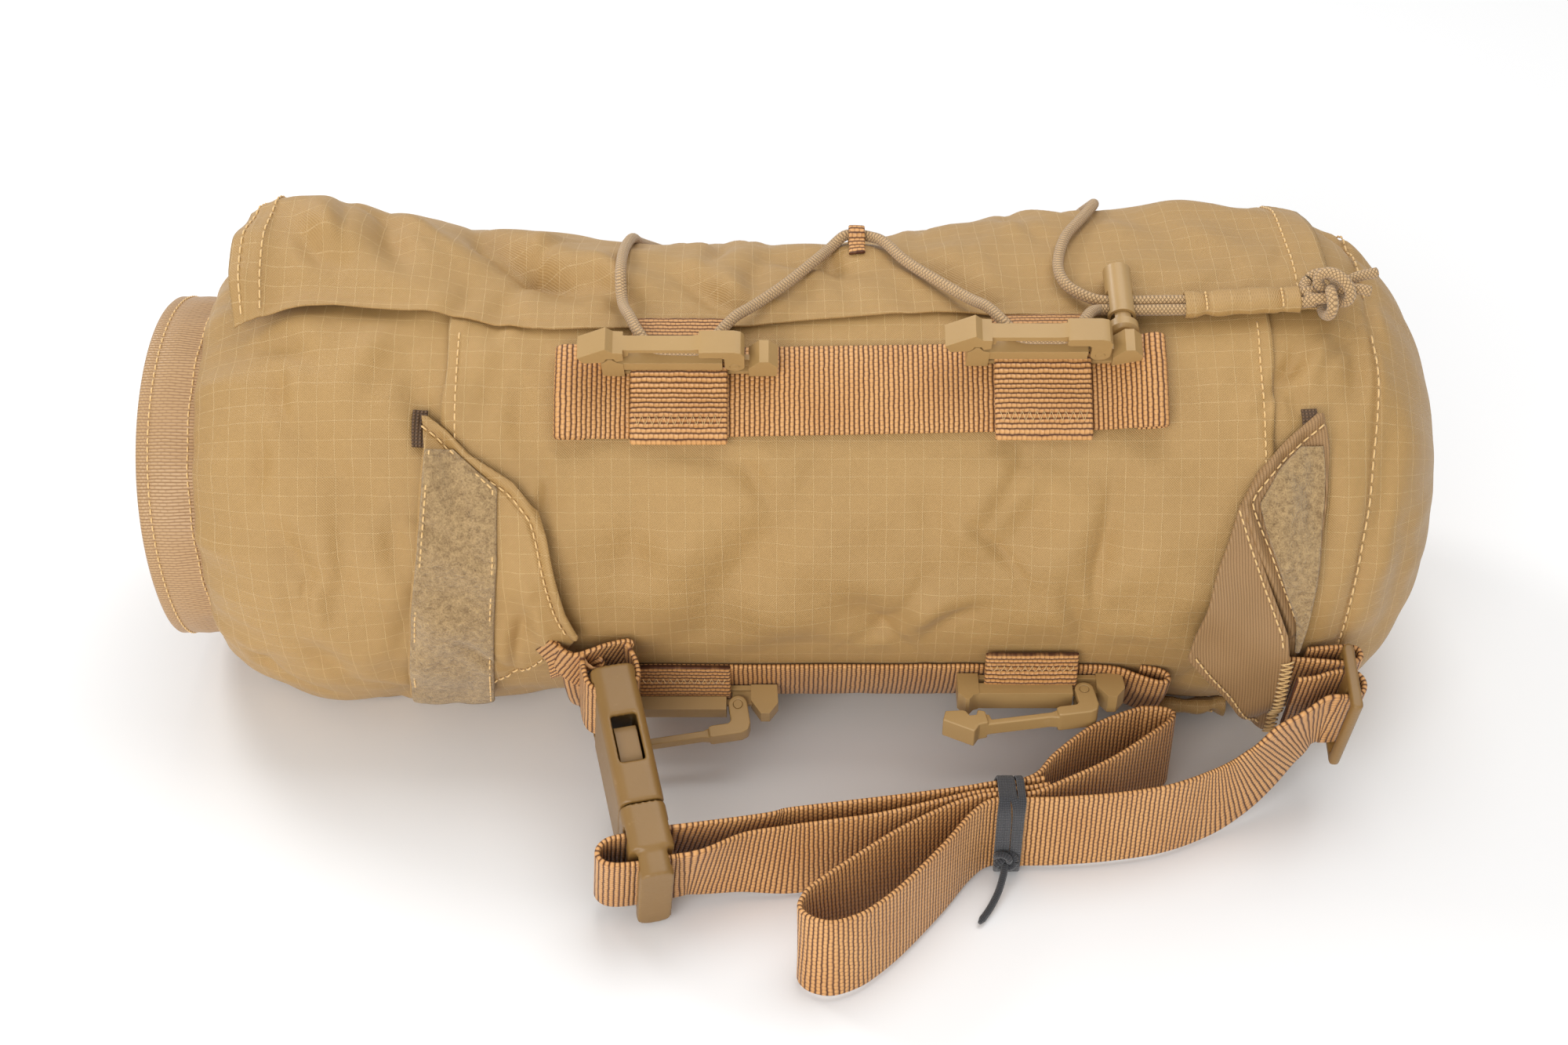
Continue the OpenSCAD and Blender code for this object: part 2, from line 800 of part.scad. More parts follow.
module waist_strap() {
    turn = [for (q = slider_turn) on_sack(slider_x, slider_a, 0) + [q[0], 0, 0] + q[1] * outward];
    long = concat(turn, run_out, flat_points(concat(near_loop, right_loop, back_lead)));
    lean = [for (i = [0:len(long) - 1]) i < len(turn) + 1 ? slider_up : [0, 0, 1]];
    short = flat_points(front_lead);
    color(web_tan) {
        band(long, lean, web_w, web_t);
        band(short, [for (p = short) [0, 0, 1]], web_w, web_t);
    }
}

// Elastic tie wound round the bundle, with its knot and tail
tie_y = [-106.9, -97.8];
tie_z = [0.95, 26.9];
tie_t = 0.9;

module tie_ring(x) {
    translate([x, 0, 0])
        rotate([90, 0, 90])
            linear_extrude(2)
                difference() {
                    translate([tie_y[0] - tie_t, tie_z[0] - tie_t])
                        square([tie_y[1] - tie_y[0] + 2 * tie_t, tie_z[1] - tie_z[0] + 2 * tie_t]);
                    translate([tie_y[0], tie_z[0]])
                        square([tie_y[1] - tie_y[0], tie_z[1] - tie_z[0]]);
                }
}

module strap_tie() {
    color([0.12, 0.12, 0.13]) {
        for (i = [0:3])
            tie_ring(33.5 + 2 * i);
        translate([37, tie_y[0] - 3, 8])
            sphere(r = 2.4);
        tube([[37, -111, 7], [36, -115, 4], [33, -120, 1.8], [29, -126, 1.2]], 1);
    }
}

sack_barrel();
left_end_shoulder();
right_end_panel();
packed_load();
mouth_collar();
mouth_closure();
cover_flap();
front_panel();
pocket_tape_left();
pocket_tape_right();
upper_strip();
lower_strip();
keeper_upper_left();
keeper_upper_right();
keeper_lower_left();
keeper_lower_right();
hook_frame_upper_left();
hook_frame_upper_right();
hook_frame_lower_left();
hook_frame_lower_right();
hook_arm_upper_left();
hook_arm_upper_right();
hook_arm_lower_left();
hook_arm_lower_right();
upper_shock_cord();
upper_cord_channel();
lower_cord_channel();
upper_cord_knot();
upper_lock_barrel();
upper_lock_plunger();
upper_lock_spring();
back_loop_left();
back_loop_centre();
back_loop_right();
left_wing();
right_wing();
left_wing_pile();
right_wing_pile();
buckle_female();
buckle_male();
buckle_prong_top();
buckle_prong_bottom();
buckle_tab();
strap_slider();
slider_tab();
strap_buckle_loop();
waist_strap();
strap_tie();
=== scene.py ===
import bpy
import bmesh
import json
import numpy as np
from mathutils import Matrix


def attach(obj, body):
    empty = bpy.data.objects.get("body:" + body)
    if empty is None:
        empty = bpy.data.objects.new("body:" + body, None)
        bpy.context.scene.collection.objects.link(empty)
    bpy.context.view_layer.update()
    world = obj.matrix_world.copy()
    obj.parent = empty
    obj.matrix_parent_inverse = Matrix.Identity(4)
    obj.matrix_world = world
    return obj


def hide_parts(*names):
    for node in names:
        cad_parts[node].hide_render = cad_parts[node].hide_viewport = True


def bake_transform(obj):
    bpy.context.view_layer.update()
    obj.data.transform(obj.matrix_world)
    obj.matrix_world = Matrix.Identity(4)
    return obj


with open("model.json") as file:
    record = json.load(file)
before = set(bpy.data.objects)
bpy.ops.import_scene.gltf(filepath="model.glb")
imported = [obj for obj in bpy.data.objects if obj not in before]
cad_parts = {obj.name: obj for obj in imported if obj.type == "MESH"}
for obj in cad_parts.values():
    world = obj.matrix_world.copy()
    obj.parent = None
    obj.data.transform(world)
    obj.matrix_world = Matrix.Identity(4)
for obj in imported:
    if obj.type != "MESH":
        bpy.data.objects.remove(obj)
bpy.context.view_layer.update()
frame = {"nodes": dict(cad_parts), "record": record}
MM = 0.001

# ---- Room: a broad soft box overhead, a small raking one and a large fill from the front ----
# The camera looks down on the laced front of the sack.
scene = bpy.context.scene
scene.view_settings.view_transform = "Standard"
cam_data = bpy.data.cameras.new("camera")
cam_data.lens = 51.363
camera = bpy.data.objects.new("camera", cam_data)
camera.location = (-0.0221, -0.52251, 0.44399)
camera.rotation_euler = (np.radians(52), 0, 0)
scene.collection.objects.link(camera)
scene.camera = camera

world = bpy.data.worlds.new("room")
scene.world = world
world.use_nodes = True
world.node_tree.nodes["Background"].inputs["Color"].default_value = (1, 1, 1, 1)
world.node_tree.nodes["Background"].inputs["Strength"].default_value = 0.56


def put(name, data):
    """A new object of the data, linked into the scene."""
    obj = bpy.data.objects.new(name, data)
    scene.collection.objects.link(obj)
    return obj


def soft_box(name, place, turn, size, power):
    """A square area light at place, turned by angles in degrees."""
    data = bpy.data.lights.new(name, "AREA")
    data.size = size
    data.energy = power
    lamp = put(name, data)
    lamp.location = place
    lamp.rotation_euler = np.radians(turn)


soft_box("overhead_box", (0.25, 0.35, 1.3), (-14, 10, 0), 1.0, 8)
soft_box("raking_box", (-0.75, 0.55, 0.75), (-40, -40, 0), 0.35, 4)
soft_box("front_fill", (-0.4, -1.2, 0.55), (68, 0, -18), 0.9, 12)


# ---- Table: a pale floor under the sack ----
# It is the first piece to need a finish and a mesh, so the two small kits for them stand here:
# Finish builds a material, Value lets its sockets be used in plain arithmetic, piece makes a mesh.
HALF_TURN = 3.14159


class Value:
    """A shader socket that adds a Math node wherever it is used in an expression."""

    def __init__(self, finish, socket):
        self.finish = finish
        self.socket = socket

    def maths(self, operation, *others):
        names = {0: self, **{i + 1: v for i, v in enumerate(others)}}
        return self.finish.add("ShaderNodeMath", {"operation": operation}, names)

    def __add__(self, other):
        return self.maths("ADD", other)

    __radd__ = __add__

    def __mul__(self, other):
        return self.maths("MULTIPLY", other)

    __rmul__ = __mul__

    def __sub__(self, other):
        return self.maths("SUBTRACT", other)

    def __rsub__(self, other):
        return self.finish.add("ShaderNodeMath", {"operation": "SUBTRACT"}, {0: other, 1: self})

    def __truediv__(self, other):
        return self.maths("DIVIDE", other)

    def sin(self):
        return self.maths("SINE")

    def fract(self):
        return self.maths("FRACT")

    def abs(self):
        return self.maths("ABSOLUTE")

    def power(self, other):
        return self.maths("POWER", other)

    def step(self, low, high):
        """0 below low and 1 above high, smooth between."""
        return self.finish.add("ShaderNodeMapRange", {"interpolation_type": "SMOOTHSTEP"},
            {0: self, 1: low, 2: high}, 0)


class Finish:
    """A material under one Principled shader."""

    def __init__(self, name, roughness=0.6, sheen=0.0, coat=0.0):
        self.material = bpy.data.materials.new(name)
        self.material.use_nodes = True
        self.tree = self.material.node_tree
        self.shader = self.tree.nodes["Principled BSDF"]
        self.shader.inputs["Roughness"].default_value = roughness
        self.shader.inputs["Sheen Weight"].default_value = sheen
        self.shader.inputs["Sheen Roughness"].default_value = 0.4
        self.shader.inputs["Coat Weight"].default_value = coat

    def add(self, kind, settings, sockets, out=0):
        """Adds one node: its settings first, then the values or links of its sockets."""
        node = self.tree.nodes.new(kind)
        for key, value in settings.items():
            setattr(node, key, value)
        for key, value in sockets.items():
            if isinstance(value, Value):
                self.tree.links.new(value.socket, node.inputs[key])
            else:
                node.inputs[key].default_value = value
        return Value(self, node.outputs[out])

    def uv(self):
        """The piece's own UV map, in metres along and across, as two values in millimetres."""
        coord = self.add("ShaderNodeTexCoord", {}, {}, 2)
        split = self.add("ShaderNodeSeparateXYZ", {}, {0: coord})
        across = Value(self, split.socket.node.outputs[1])
        return split * 1000, across * 1000, coord

    def place(self):
        """Object coordinates, in metres."""
        return self.add("ShaderNodeTexCoord", {}, {}, 3)

    def noise(self, at, scale, detail=3.0, rough=0.5):
        return self.add("ShaderNodeTexNoise", {}, {"Vector": at, "Scale": scale, "Detail": detail,
            "Roughness": rough})

    def blend(self, mask, low, high):
        """Mixes two colours, or colour sockets, by a mask."""
        pair = {6: low if isinstance(low, Value) else (*low, 1), 7: high if isinstance(high, Value)
            else (*high, 1)}
        return self.add("ShaderNodeMix", {"data_type": "RGBA"}, {0: mask, **pair}, 2)

    def paint(self, colour=None, roughness=None, height=None, depth=0.1, strength=1.0):
        """Links colour and roughness, and a height in millimetres times depth as bump."""
        if colour is not None:
            self.tree.links.new(colour.socket, self.shader.inputs["Base Color"])
        if roughness is not None:
            self.tree.links.new(roughness.socket, self.shader.inputs["Roughness"])
        if height is not None:
            bump = self.add("ShaderNodeBump", {}, {"Height": height, "Distance": depth * MM,
                "Strength": strength})
            self.tree.links.new(bump.socket, self.shader.inputs["Normal"])
        return self.material


def grid_faces(rows, cols, wrap_rows=False, wrap_cols=False):
    """Quads over a grid of points; a wrapped direction joins its last line to its first."""
    r = np.arange(rows if wrap_rows else rows - 1)[:, None]
    c = np.arange(cols if wrap_cols else cols - 1)[None, :]
    r1, c1 = (r + 1) % rows, (c + 1) % cols
    return np.stack([r * cols + c, r * cols + c1, r1 * cols + c1, r1 * cols + c], -1).reshape(-1, 4)


def modify(obj, name, kind, **settings):
    """Adds a modifier with its settings."""
    made = obj.modifiers.new(name, kind)
    for key, value in settings.items():
        setattr(made, key, value)


def piece(name, points, uv, finish, slot, body="sack", wrap_rows=False, wrap_cols=False, caps=False, wall=0.0,
        flip=False, stands_for=()):
    """A surface through a grid of points in millimetres, with a UV map in millimetres.

    caps closes the two end rings of a wrapped grid; wall gives a sheet its thickness inwards.
    """
    rows, cols = points.shape[:2]
    faces = grid_faces(rows, cols, wrap_rows, wrap_cols)
    verts = points.reshape(-1, 3)
    flat_uv = uv.reshape(-1, 2)
    corner_uv = flat_uv[faces]
    if wrap_cols or wrap_rows:
        # a face over the join keeps its own side of the map
        for axis in (0, 1):
            span = np.ptp(flat_uv[:, axis])
            part = corner_uv[..., axis]
            jump = np.ptp(part, axis=1) > span * 0.5
            part[jump] = np.where(part[jump] < flat_uv[:, axis].min() + span * 0.5, part[jump] + span,
                part[jump])
    loops = [list(f) for f in faces]
    all_uv = list(corner_uv.reshape(-1, 2))
    if caps:
        first, last = list(range(cols)), list(range((rows - 1) * cols, rows * cols))
        loops += [first[::-1], last]
        all_uv += list(flat_uv[first[::-1]]) + list(flat_uv[last])
    if flip:
        loops = [f[::-1] for f in loops]
        count = np.cumsum([0] + [len(f) for f in loops])
        all_uv = np.array(all_uv)
        all_uv = np.concatenate([all_uv[count[i]:count[i + 1]][::-1] for i in range(len(loops))])
    mesh = bpy.data.meshes.new(name)
    mesh.from_pydata((verts * MM).tolist(), [], loops)
    layer = mesh.uv_layers.new(name="UVMap")
    layer.data.foreach_set("uv", (np.array(all_uv) * MM).astype(np.float32).ravel())
    mesh.polygons.foreach_set("use_smooth", np.ones(len(mesh.polygons), bool))
    mesh.materials.append(finish)
    obj = put(name, mesh)
    if wall:
        modify(obj, "wall", "SOLIDIFY", thickness=wall * MM, offset=-1)
    if body:
        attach(obj, body)
    if stands_for:
        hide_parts(*stands_for)
    return obj


floor_at = np.array([[[-4000, -4000, -0.2], [4000, -4000, -0.2]], [[-4000, 4000, -0.2], [4000, 4000, -0.2]]],
    float)
table_paint = Finish("table_paint", 0.7)
tone = table_paint.noise(table_paint.place(), 3.0)
table_white = table_paint.paint(table_paint.blend(tone, (0.86, 0.86, 0.86), (0.9, 0.9, 0.9)))
floor_mesh = bpy.data.meshes.new("floor")
floor_mesh.from_pydata((floor_at.reshape(-1, 3) * MM).tolist(), [], [[0, 1, 3, 2]])
floor_mesh.materials.append(table_white)
floor = put("floor", floor_mesh)


# ---- Sack: one stuffed tube of ripstop nylon, gathered at the mouth and closed by a sewn end ----
# Its skin is a function of x, in millimetres along it, and of an angle: 0 faces front, 90 up.
# GIRTH is the cloth, in millimetres, that a degree of that angle takes; ACROSS is the same at the webbing.
GIRTH, ACROSS = 1.15, 1.19
MID_R, BULGE, LEFT_X, RIGHT_X, AXIS_Z = 64.0, 3.5, -181.0, 161.0, 57.5


def ease(t):
    """0 to 1 with level ends."""
    t = np.clip(t, 0, 1)
    return t * t * (3 - 2 * t)


def hill(v, centre, half):
    """1 at the centre, 0 beyond half to either side."""
    return ease(1 - np.abs((v - centre) / half))


def between(v, low, high, soft):
    """1 between low and high, with soft shoulders outside."""
    return ease((v - low) / soft + 1) * ease((high - v) / soft + 1)


def bare_radius(x):
    """The middle radius, a little more towards both ends, rounded off at each end."""
    body = MID_R + BULGE * ease((np.abs(x + 10) - 70) / 60)
    left = np.clip((LEFT_X + 38 - x) / 38, 0, 1)
    right = np.clip((x - RIGHT_X + 40) / 40, 0, 1)
    return (body - 20 * (1 - (1 - left ** 2.4) ** (1 / 2.4))) * (1 - right ** 2.2) ** (1 / 2.2)


# creases as [x, angle] to [x, angle], half width and depth; then small ones drawn at random
CREASES = [(-167, 66, -142, 58, 5, 1.6), (-120, 116, -66, 74, 8, 3.0), (-80, 98, -62, 67, 5, 1.8),
    (-58, 92, -24, 69, 5, 2.0), (-100, 100, -70, 78, 5, 1.6), (4, 96, 42, 73, 6, 2.2),
    (-30, 104, 2, 84, 6, 1.5), (-40, 38, -20, 26, 5, 1.2), (-20, 30, -46, -14, 9, 1.5),
    (48, 38, 33, 3, 9, 1.5), (66, 42, 56, -4, 8, 1.6), (88, 66, 76, 40, 6, 1.3), (-96, 62, -82, 30, 6, 1.4),
    (-104, 34, -124, 64, 5, 1.4), (-60, 34, -70, -8, 8, 1.2), (123, 70, 131, 48, 5, 1.5),
    (112, 44, 124, 12, 6, 1.4), (136, 60, 128, -20, 5, 1.2), (146, 40, 138, -30, 5, 1.0),
    (-150, 52, -128, 20, 7, 1.4), (-166, 30, -140, 2, 6, 1.3), (-160, -6, -136, -30, 6, 1.3),
    (-140, 110, -118, 80, 6, 2.0), (-158, 92, -136, 84, 5, 2.0), (60, 118, 96, 92, 9, 1.5),
    (-6, 8, 14, -14, 7, 1.0), (10, 34, 22, 12, 6, 0.9), (-112, 10, -134, -20, 6, 1.3)]
chance = np.random.default_rng(7)
for _ in range(150):
    cx, ca = chance.uniform(-172, 150), chance.uniform(-60, 230)
    dx, da = chance.normal(0, 10), chance.uniform(8, 22) * chance.choice([-1, 1])
    CREASES.append((cx - dx, ca - da, cx + dx, ca + da, chance.uniform(2.2, 5.0), chance.uniform(0.35, 1.0)))
waves = [(chance.uniform(-1, 1, 2) / chance.uniform(14, 45), chance.uniform(0, 6.3)) for _ in range(14)]
TOP_X = [-175, -120, -95, -65, -20, 5, 25, 70, 100, 125, 142]
TOP_UP = [0, 0.5, -0.5, -2.5, -2.5, -0.5, 4, 7.5, 6, 2.5, 0]


def lumps(x, a):
    """How far the stuffing pushes the cloth out: the swell of the top, creases with a ridge beside
    each, soft waves and the gathers at the mouth. It is calm where webbing is sewn down."""
    x, a = np.broadcast_arrays(np.asarray(x, float), np.asarray(a, float))
    arc = a * GIRTH
    out = np.interp(x, TOP_X, TOP_UP) * hill(a, 128, 52)
    for x0, a0, x1, a1, half, deep in CREASES:
        s0, s1 = a0 * GIRTH, a1 * GIRTH
        length = np.hypot(x1 - x0, s1 - s0)
        tx, ts = (x1 - x0) / length, (s1 - s0) / length
        along = ((x - x0) * tx + (arc - s0) * ts) / length
        off = (x - x0) * -ts + (arc - s0) * tx + 2.5 * np.sin(along * 4 + x0)
        fade = ease(1 - np.abs(2 * along - 1) * 0.9) * (np.abs(2 * along - 1) < 1.1)
        out = (out + 1.6 * deep * fade * (0.6 * np.exp(-((off - 1.5 * half) / half) ** 2)
            - np.exp(-(off / half * 1.5) ** 2)))
    for turn, phase in waves:
        out = out + 0.22 * np.sin(6.283 * (x * turn[0] + arc * turn[1]) + phase)
    calm = 1 - 0.88 * between(x, -84, 80, 12) * np.maximum(between(a, 42, 71, 7), between(a, -50, -16, 7))
    calm = calm * (1 - 0.85 * between(x, 60, 124, 8) * between(a, 70, 78, 7))
    return out * calm


def gathers(x, a):
    """Pleats that run into the mouth, uneven round the ring, and puckers by the closed end."""
    turn = np.radians(a)
    mouth = ease((-146 - x) / 30)
    pleat = np.abs(np.sin(9.5 * turn + 0.9 * np.sin(3 * turn))) + 0.5 * np.abs(np.sin(17 * turn + 2))
    far = ease((x - 136) / 18)
    return -1.5 * mouth * pleat + 0.5 * far * np.sin(14 * turn + 1.5 * np.sin(4 * turn))


def seam_x(a):
    """Where the sewn end joins the tube."""
    return np.interp(a, [-90, -5, 28, 58, 120, 270], [127, 128.5, 131, 133.7, 134, 127])


def sack(x, a, lift=0.0):
    """Points of the skin, a lift above it, pressed flat where the sack lies on the table."""
    x, a, lift = np.broadcast_arrays(np.asarray(x, float), np.asarray(a, float), np.asarray(lift, float))
    near = np.exp(-((x - seam_x(a)) / 1.0) ** 2)
    r = bare_radius(x) + (lumps(x, a) + gathers(x, a)) * ease((RIGHT_X - x) / 12) + lift - 1.0 * near
    turn = np.radians(a)
    z = AXIS_Z + r * np.sin(turn)
    return np.stack([x, -r * np.cos(turn), (z + np.sqrt(z * z + 1.5)) / 2 + 0.02], -1)


CLOTH_LIGHT, CLOTH_DARK, RIP = (0.51, 0.308, 0.108), (0.335, 0.192, 0.060), (0.72, 0.50, 0.24)


def ripstop(name):
    """Plain weave with a heavier pale thread every few millimetres both ways."""
    f = Finish(name, 0.5, sheen=0.08)
    u, v, at = f.uv()
    pitch = 4.8
    wobble = (f.noise(at, 260.0, 1.0) - 0.5) * 0.5
    du = ((u + wobble) / pitch + 0.5).fract() - 0.5
    dv = ((v + wobble) / pitch + 0.5).fract() - 0.5
    line = lambda d: 1 - (d.abs() * pitch).step(0.05, 0.2)
    broken = f.noise(at, 900.0, 2.0).step(0.35, 0.6)
    rip = line(du).maths("MAXIMUM", line(dv) * 0.85) * (broken * 0.6 + 0.4)
    weave = (u * 9.4).sin() * (v * 9.4).sin()
    slub = f.noise(at, 420.0, 3.0)
    cloudy = f.noise(at, 22.0, 2.0)
    body = f.blend(cloudy * 0.55 + weave * 0.16 + slub * 0.25, CLOTH_DARK, CLOTH_LIGHT)
    colour = f.blend(rip * 0.4, body, RIP)
    crinkle = f.noise(at, 95.0, 4.0, 0.6)
    height = weave * 0.5 + rip * 0.9 + slub * 0.9 + crinkle * 5.5
    return f.paint(colour, 0.44 + 0.16 * cloudy, height, 0.13, 0.85)


cloth = ripstop("ripstop_cloth")


def arc_uv(x, a):
    """Cloth coordinates: along the sack and round it, both in millimetres."""
    x, a = np.broadcast_arrays(x, a)
    return np.stack([x, a * GIRTH], -1)


xs = np.concatenate([np.linspace(LEFT_X + 0.4, -140, 60), np.linspace(-139, 118, 150),
    np.linspace(119, 160.7, 58)])
angles = np.linspace(-90, 270, 320, endpoint=False)
skin = sack(xs[:, None], angles[None, :])
mouth_ring = np.array([[0.5, 30], [-3.5, 30], [-4.5, 12], [-4.2, 2]])
inner = []
for dx, r in mouth_ring:
    turn = np.radians(angles)
    ripple = 1 + 0.05 * np.sin(19 * turn) * (r > 5)
    inner.append(np.stack([np.full_like(turn, LEFT_X + dx), -r * ripple * np.cos(turn),
        AXIS_Z + r * ripple * np.sin(turn)], -1))
whole = np.concatenate([np.array(inner)[::-1], skin])
whole_x = np.concatenate([[-226, -216, -198, -194], xs])
sack_body = piece("sack_body", whole, arc_uv(whole_x[:, None], angles[None, :]), cloth, "cloth",
    wrap_cols=True, caps=True, stands_for=("sack_barrel", "left_end_shoulder", "right_end_panel",
    "packed_load", "mouth_closure"))


# ---- Stitches: pale polyester thread, each stitch a small arch that dips into the cloth ----
# Curves through given points, and rows of stitches along them, serve every sewn piece below.
thread_finish = Finish("pale_thread", 0.5, sheen=0.3)
twist = thread_finish.noise(thread_finish.place(), 1400.0, 2.0)
thread = thread_finish.paint(thread_finish.blend(twist, (0.62, 0.38, 0.14), (0.82, 0.56, 0.25)), height=twist,
    depth=0.2)


def lengths(path):
    """Distance along a path of points, at each point."""
    return np.concatenate([[0], np.cumsum(np.linalg.norm(np.diff(path, axis=0), axis=1))])


def at_length(path, where):
    """Points of a path at the given distances."""
    s = lengths(path)
    return np.stack([np.interp(where, s, path[:, k]) for k in range(path.shape[1])], -1)


def smooth(path, count):
    """A Catmull-Rom curve through the points, re-spaced evenly to count points."""
    p = np.asarray(path, float)
    p = np.concatenate([[2 * p[0] - p[1]], p, [2 * p[-1] - p[-2]]])
    t = np.linspace(0, 1, 12, endpoint=False)[:, None, None]
    a, b, c, d = p[:-3], p[1:-2], p[2:-1], p[3:]
    q = 0.5 * (2 * b + (c - a) * t + (2 * a - 5 * b + 4 * c - d) * t ** 2 + (3 * b - a - 3 * c + d) * t ** 3)
    q = np.concatenate([q.transpose(1, 0, 2).reshape(-1, p.shape[1]), p[-2:-1]])
    return at_length(q, np.linspace(0, lengths(q)[-1], count))


def outward(points):
    """Away from the sack's long axis."""
    n = points * [0, 1, 1] - [0, 0, AXIS_Z]
    return n / np.linalg.norm(n, axis=-1, keepdims=True)


def unit(v):
    """v scaled to a length of one."""
    return v / np.maximum(np.linalg.norm(v, axis=-1, keepdims=True), 1e-9)


def stitches(name, path, pitch=2.6, share=0.72, zigzag=0.0, up=None, body="sack", thick=0.27):
    """A row of stitches along a path: five-sided tubes of five rings, arched along up."""
    path = np.asarray(path, float)
    count = int(lengths(path)[-1] / pitch)
    start = (np.arange(count) + 0.15) * pitch
    t = np.linspace(0, 1, 5)
    mid = at_length(path, (start[:, None] + t * pitch * share).ravel()).reshape(count, 5, 3)
    normal = outward(mid) if up is None else np.broadcast_to(unit(np.asarray(up, float)), mid.shape)
    along = unit(mid[:, -1:] - mid[:, :1])
    side = unit(np.cross(normal, along))
    mid = mid + normal * (np.sin(np.pi * t)[None, :, None] * 0.32 - 0.02)
    if zigzag:
        lean = np.where(np.arange(count) % 2, 1, -1)[:, None, None] * (t[None, :, None] * 2 - 1)
        mid = mid + side * lean * zigzag / 2
    turn = np.arange(5) * 2 * np.pi / 5
    ring = side[:, :, None] * np.cos(turn)[:, None] * thick + normal[:, :, None] * np.sin(
        turn)[:, None] * thick
    pts = mid[:, :, None] + ring
    faces = grid_faces(5, 5, wrap_cols=True)
    ends = np.array([[4, 3, 2, 1, 0], [20, 21, 22, 23, 24]])
    quads = (faces[None] + 25 * np.arange(count)[:, None, None]).reshape(-1, 4).tolist()
    fives = (ends[None] + 25 * np.arange(count)[:, None, None]).reshape(-1, 5).tolist()
    mesh = bpy.data.meshes.new(name)
    mesh.from_pydata((pts.reshape(-1, 3) * MM).tolist(), [], quads + fives)
    mesh.materials.append(thread)
    mesh.polygons.foreach_set("use_smooth", np.ones(len(mesh.polygons), bool))
    obj = put(name, mesh)
    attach(obj, body)
    return obj


def on_line(points, count=80, lift=1.0):
    """A path on the sack through given [x, angle] points."""
    q = smooth(np.asarray(points, float), count)
    return sack(q[:, 0], q[:, 1], lift)


# ---- Front panel: one layer of the same cloth, hemmed at both ends, under the laced webbing ----
# Its edges run between two values of x and two angles.
def hem(d, width=5.0, rise=0.45):
    """The extra height of a turned edge, d millimetres in from it, with the dip of its stitching."""
    return rise * (1 - ease((d - width + 1.2) / 1.6)) - 0.22 * np.exp(-((d - width * 0.6) / 0.7) ** 2)


PANEL_L, PANEL_R, PANEL_LOW, PANEL_TOP, PANEL_LIFT = -111.0, 106.0, -50.0, 77.0, 1.05
px = np.linspace(PANEL_L, PANEL_R, 210)
pa = np.linspace(PANEL_LOW, PANEL_TOP, 150)[:, None]
rim = np.minimum(px - PANEL_L, PANEL_R - px)
wave = 0.5 * np.sin(pa / 9) + 0.3 * np.sin(pa / 4.1)
panel_x = px + wave * np.exp(-rim / 8)
panel_lift = PANEL_LIFT + hem(rim) + 0 * pa + 0.25 * np.exp(-rim / 2.5) * np.sin(pa / 3.3)
front_points = sack(panel_x, pa, panel_lift)


def cloth_area(points):
    """Area of a grid of points, in square metres."""
    a = np.cross(points[1:, :-1] - points[:-1, :-1], points[:-1, 1:] - points[:-1, :-1])
    b = np.cross(points[:-1, 1:] - points[1:, 1:], points[1:, :-1] - points[1:, 1:])
    return float((np.linalg.norm(a, axis=-1) + np.linalg.norm(b, axis=-1)).sum() / 2 * MM * MM)


front_panel = piece("front_panel_cloth", front_points, arc_uv(panel_x, pa), cloth, "cloth", wall=0.5,
    stands_for=("front_panel",))
cloth_area(front_points)
for label, x in (("left", PANEL_L + 3.1), ("right", PANEL_R - 3.1)):
    stitches(f"panel_stitches_{label}", on_line([(x, PANEL_LOW + 1), (x, 0), (x, 40), (x, 70)], 90,
        PANEL_LIFT + 0.3))


# ---- Cover flap: the cloth that closes over the top, its left corner standing off the sack ----
# FLAP_FRONT is the [x, angle] line of its front edge; the back edge is level.
FLAP_FRONT = [(-169, 69), (-155, 71.5), (-141, 73), (-112, 72), (-84, 69), (-64, 69.5), (-32, 70), (-1, 73),
    (30, 74.5), (52, 72.5), (83, 76), (111, 72.5), (124, 72)]
FLAP_BACK = 168.0
FLAP_L, FLAP_R, FLAP_LIFT = -169.0, 124.0, 1.75
fx = np.concatenate([np.linspace(FLAP_L, -130, 60), np.linspace(-129, FLAP_R, 170)])
ft = np.linspace(0, 1, 130)[:, None] ** 1.2
front_edge = np.interp(fx, *np.array(FLAP_FRONT).T)
fa = front_edge + (FLAP_BACK - front_edge) * ft
corner = ease((-98 - fx) / 62) * hill(fa, 98, 31) + 0.4 * ease((-156 - fx) / 12) * hill(fa, 80, 18)
from_edge = (fa - front_edge) * GIRTH
flap_rim = np.minimum(fx - FLAP_L, FLAP_R - fx) + 0 * fa
flap_lift = (FLAP_LIFT + 11.5 * corner + 1.2 * ease((-150 - fx) / 18) * np.sin(fa / 5.5 + 1) ** 2
    + hem(flap_rim, 9, 0.5) + 0.5 * np.exp(-from_edge / 2.2) + hem(from_edge, 4, 0.25))
flap_x = fx + 0 * fa - 1.3 * np.exp(-(fx - FLAP_L) / 10) * np.sin(fa / 6.0)
flap_points = sack(flap_x, fa, flap_lift)
flap_uv = np.stack([flap_x + 0.02 * fa, fa * GIRTH + 1.7], -1)
cover_flap = piece("cover_flap_cloth", flap_points, flap_uv, cloth, "cloth", wall=0.55,
    stands_for=("cover_flap",))
cloth_area(flap_points)
for i, inset in enumerate((4, 12)):
    stitches(f"flap_stitches_{i}", flap_points[4:125, inset] + outward(flap_points[4:125, inset]) * 0.1, 3.0)
stitches("flap_stitches_right", flap_points[8:125, -7], 3.0)
stitches("end_seam_stitches", on_line([(133.5, 68), (133.8, 55), (131, 28), (128.7, 0), (127.4, -40)], 90,
    0.9), 3.2)
stitches("end_seam_stitches_back", on_line([(134, 80), (134, 120), (131, 180), (127, 225)], 90, 0.9), 3.2)


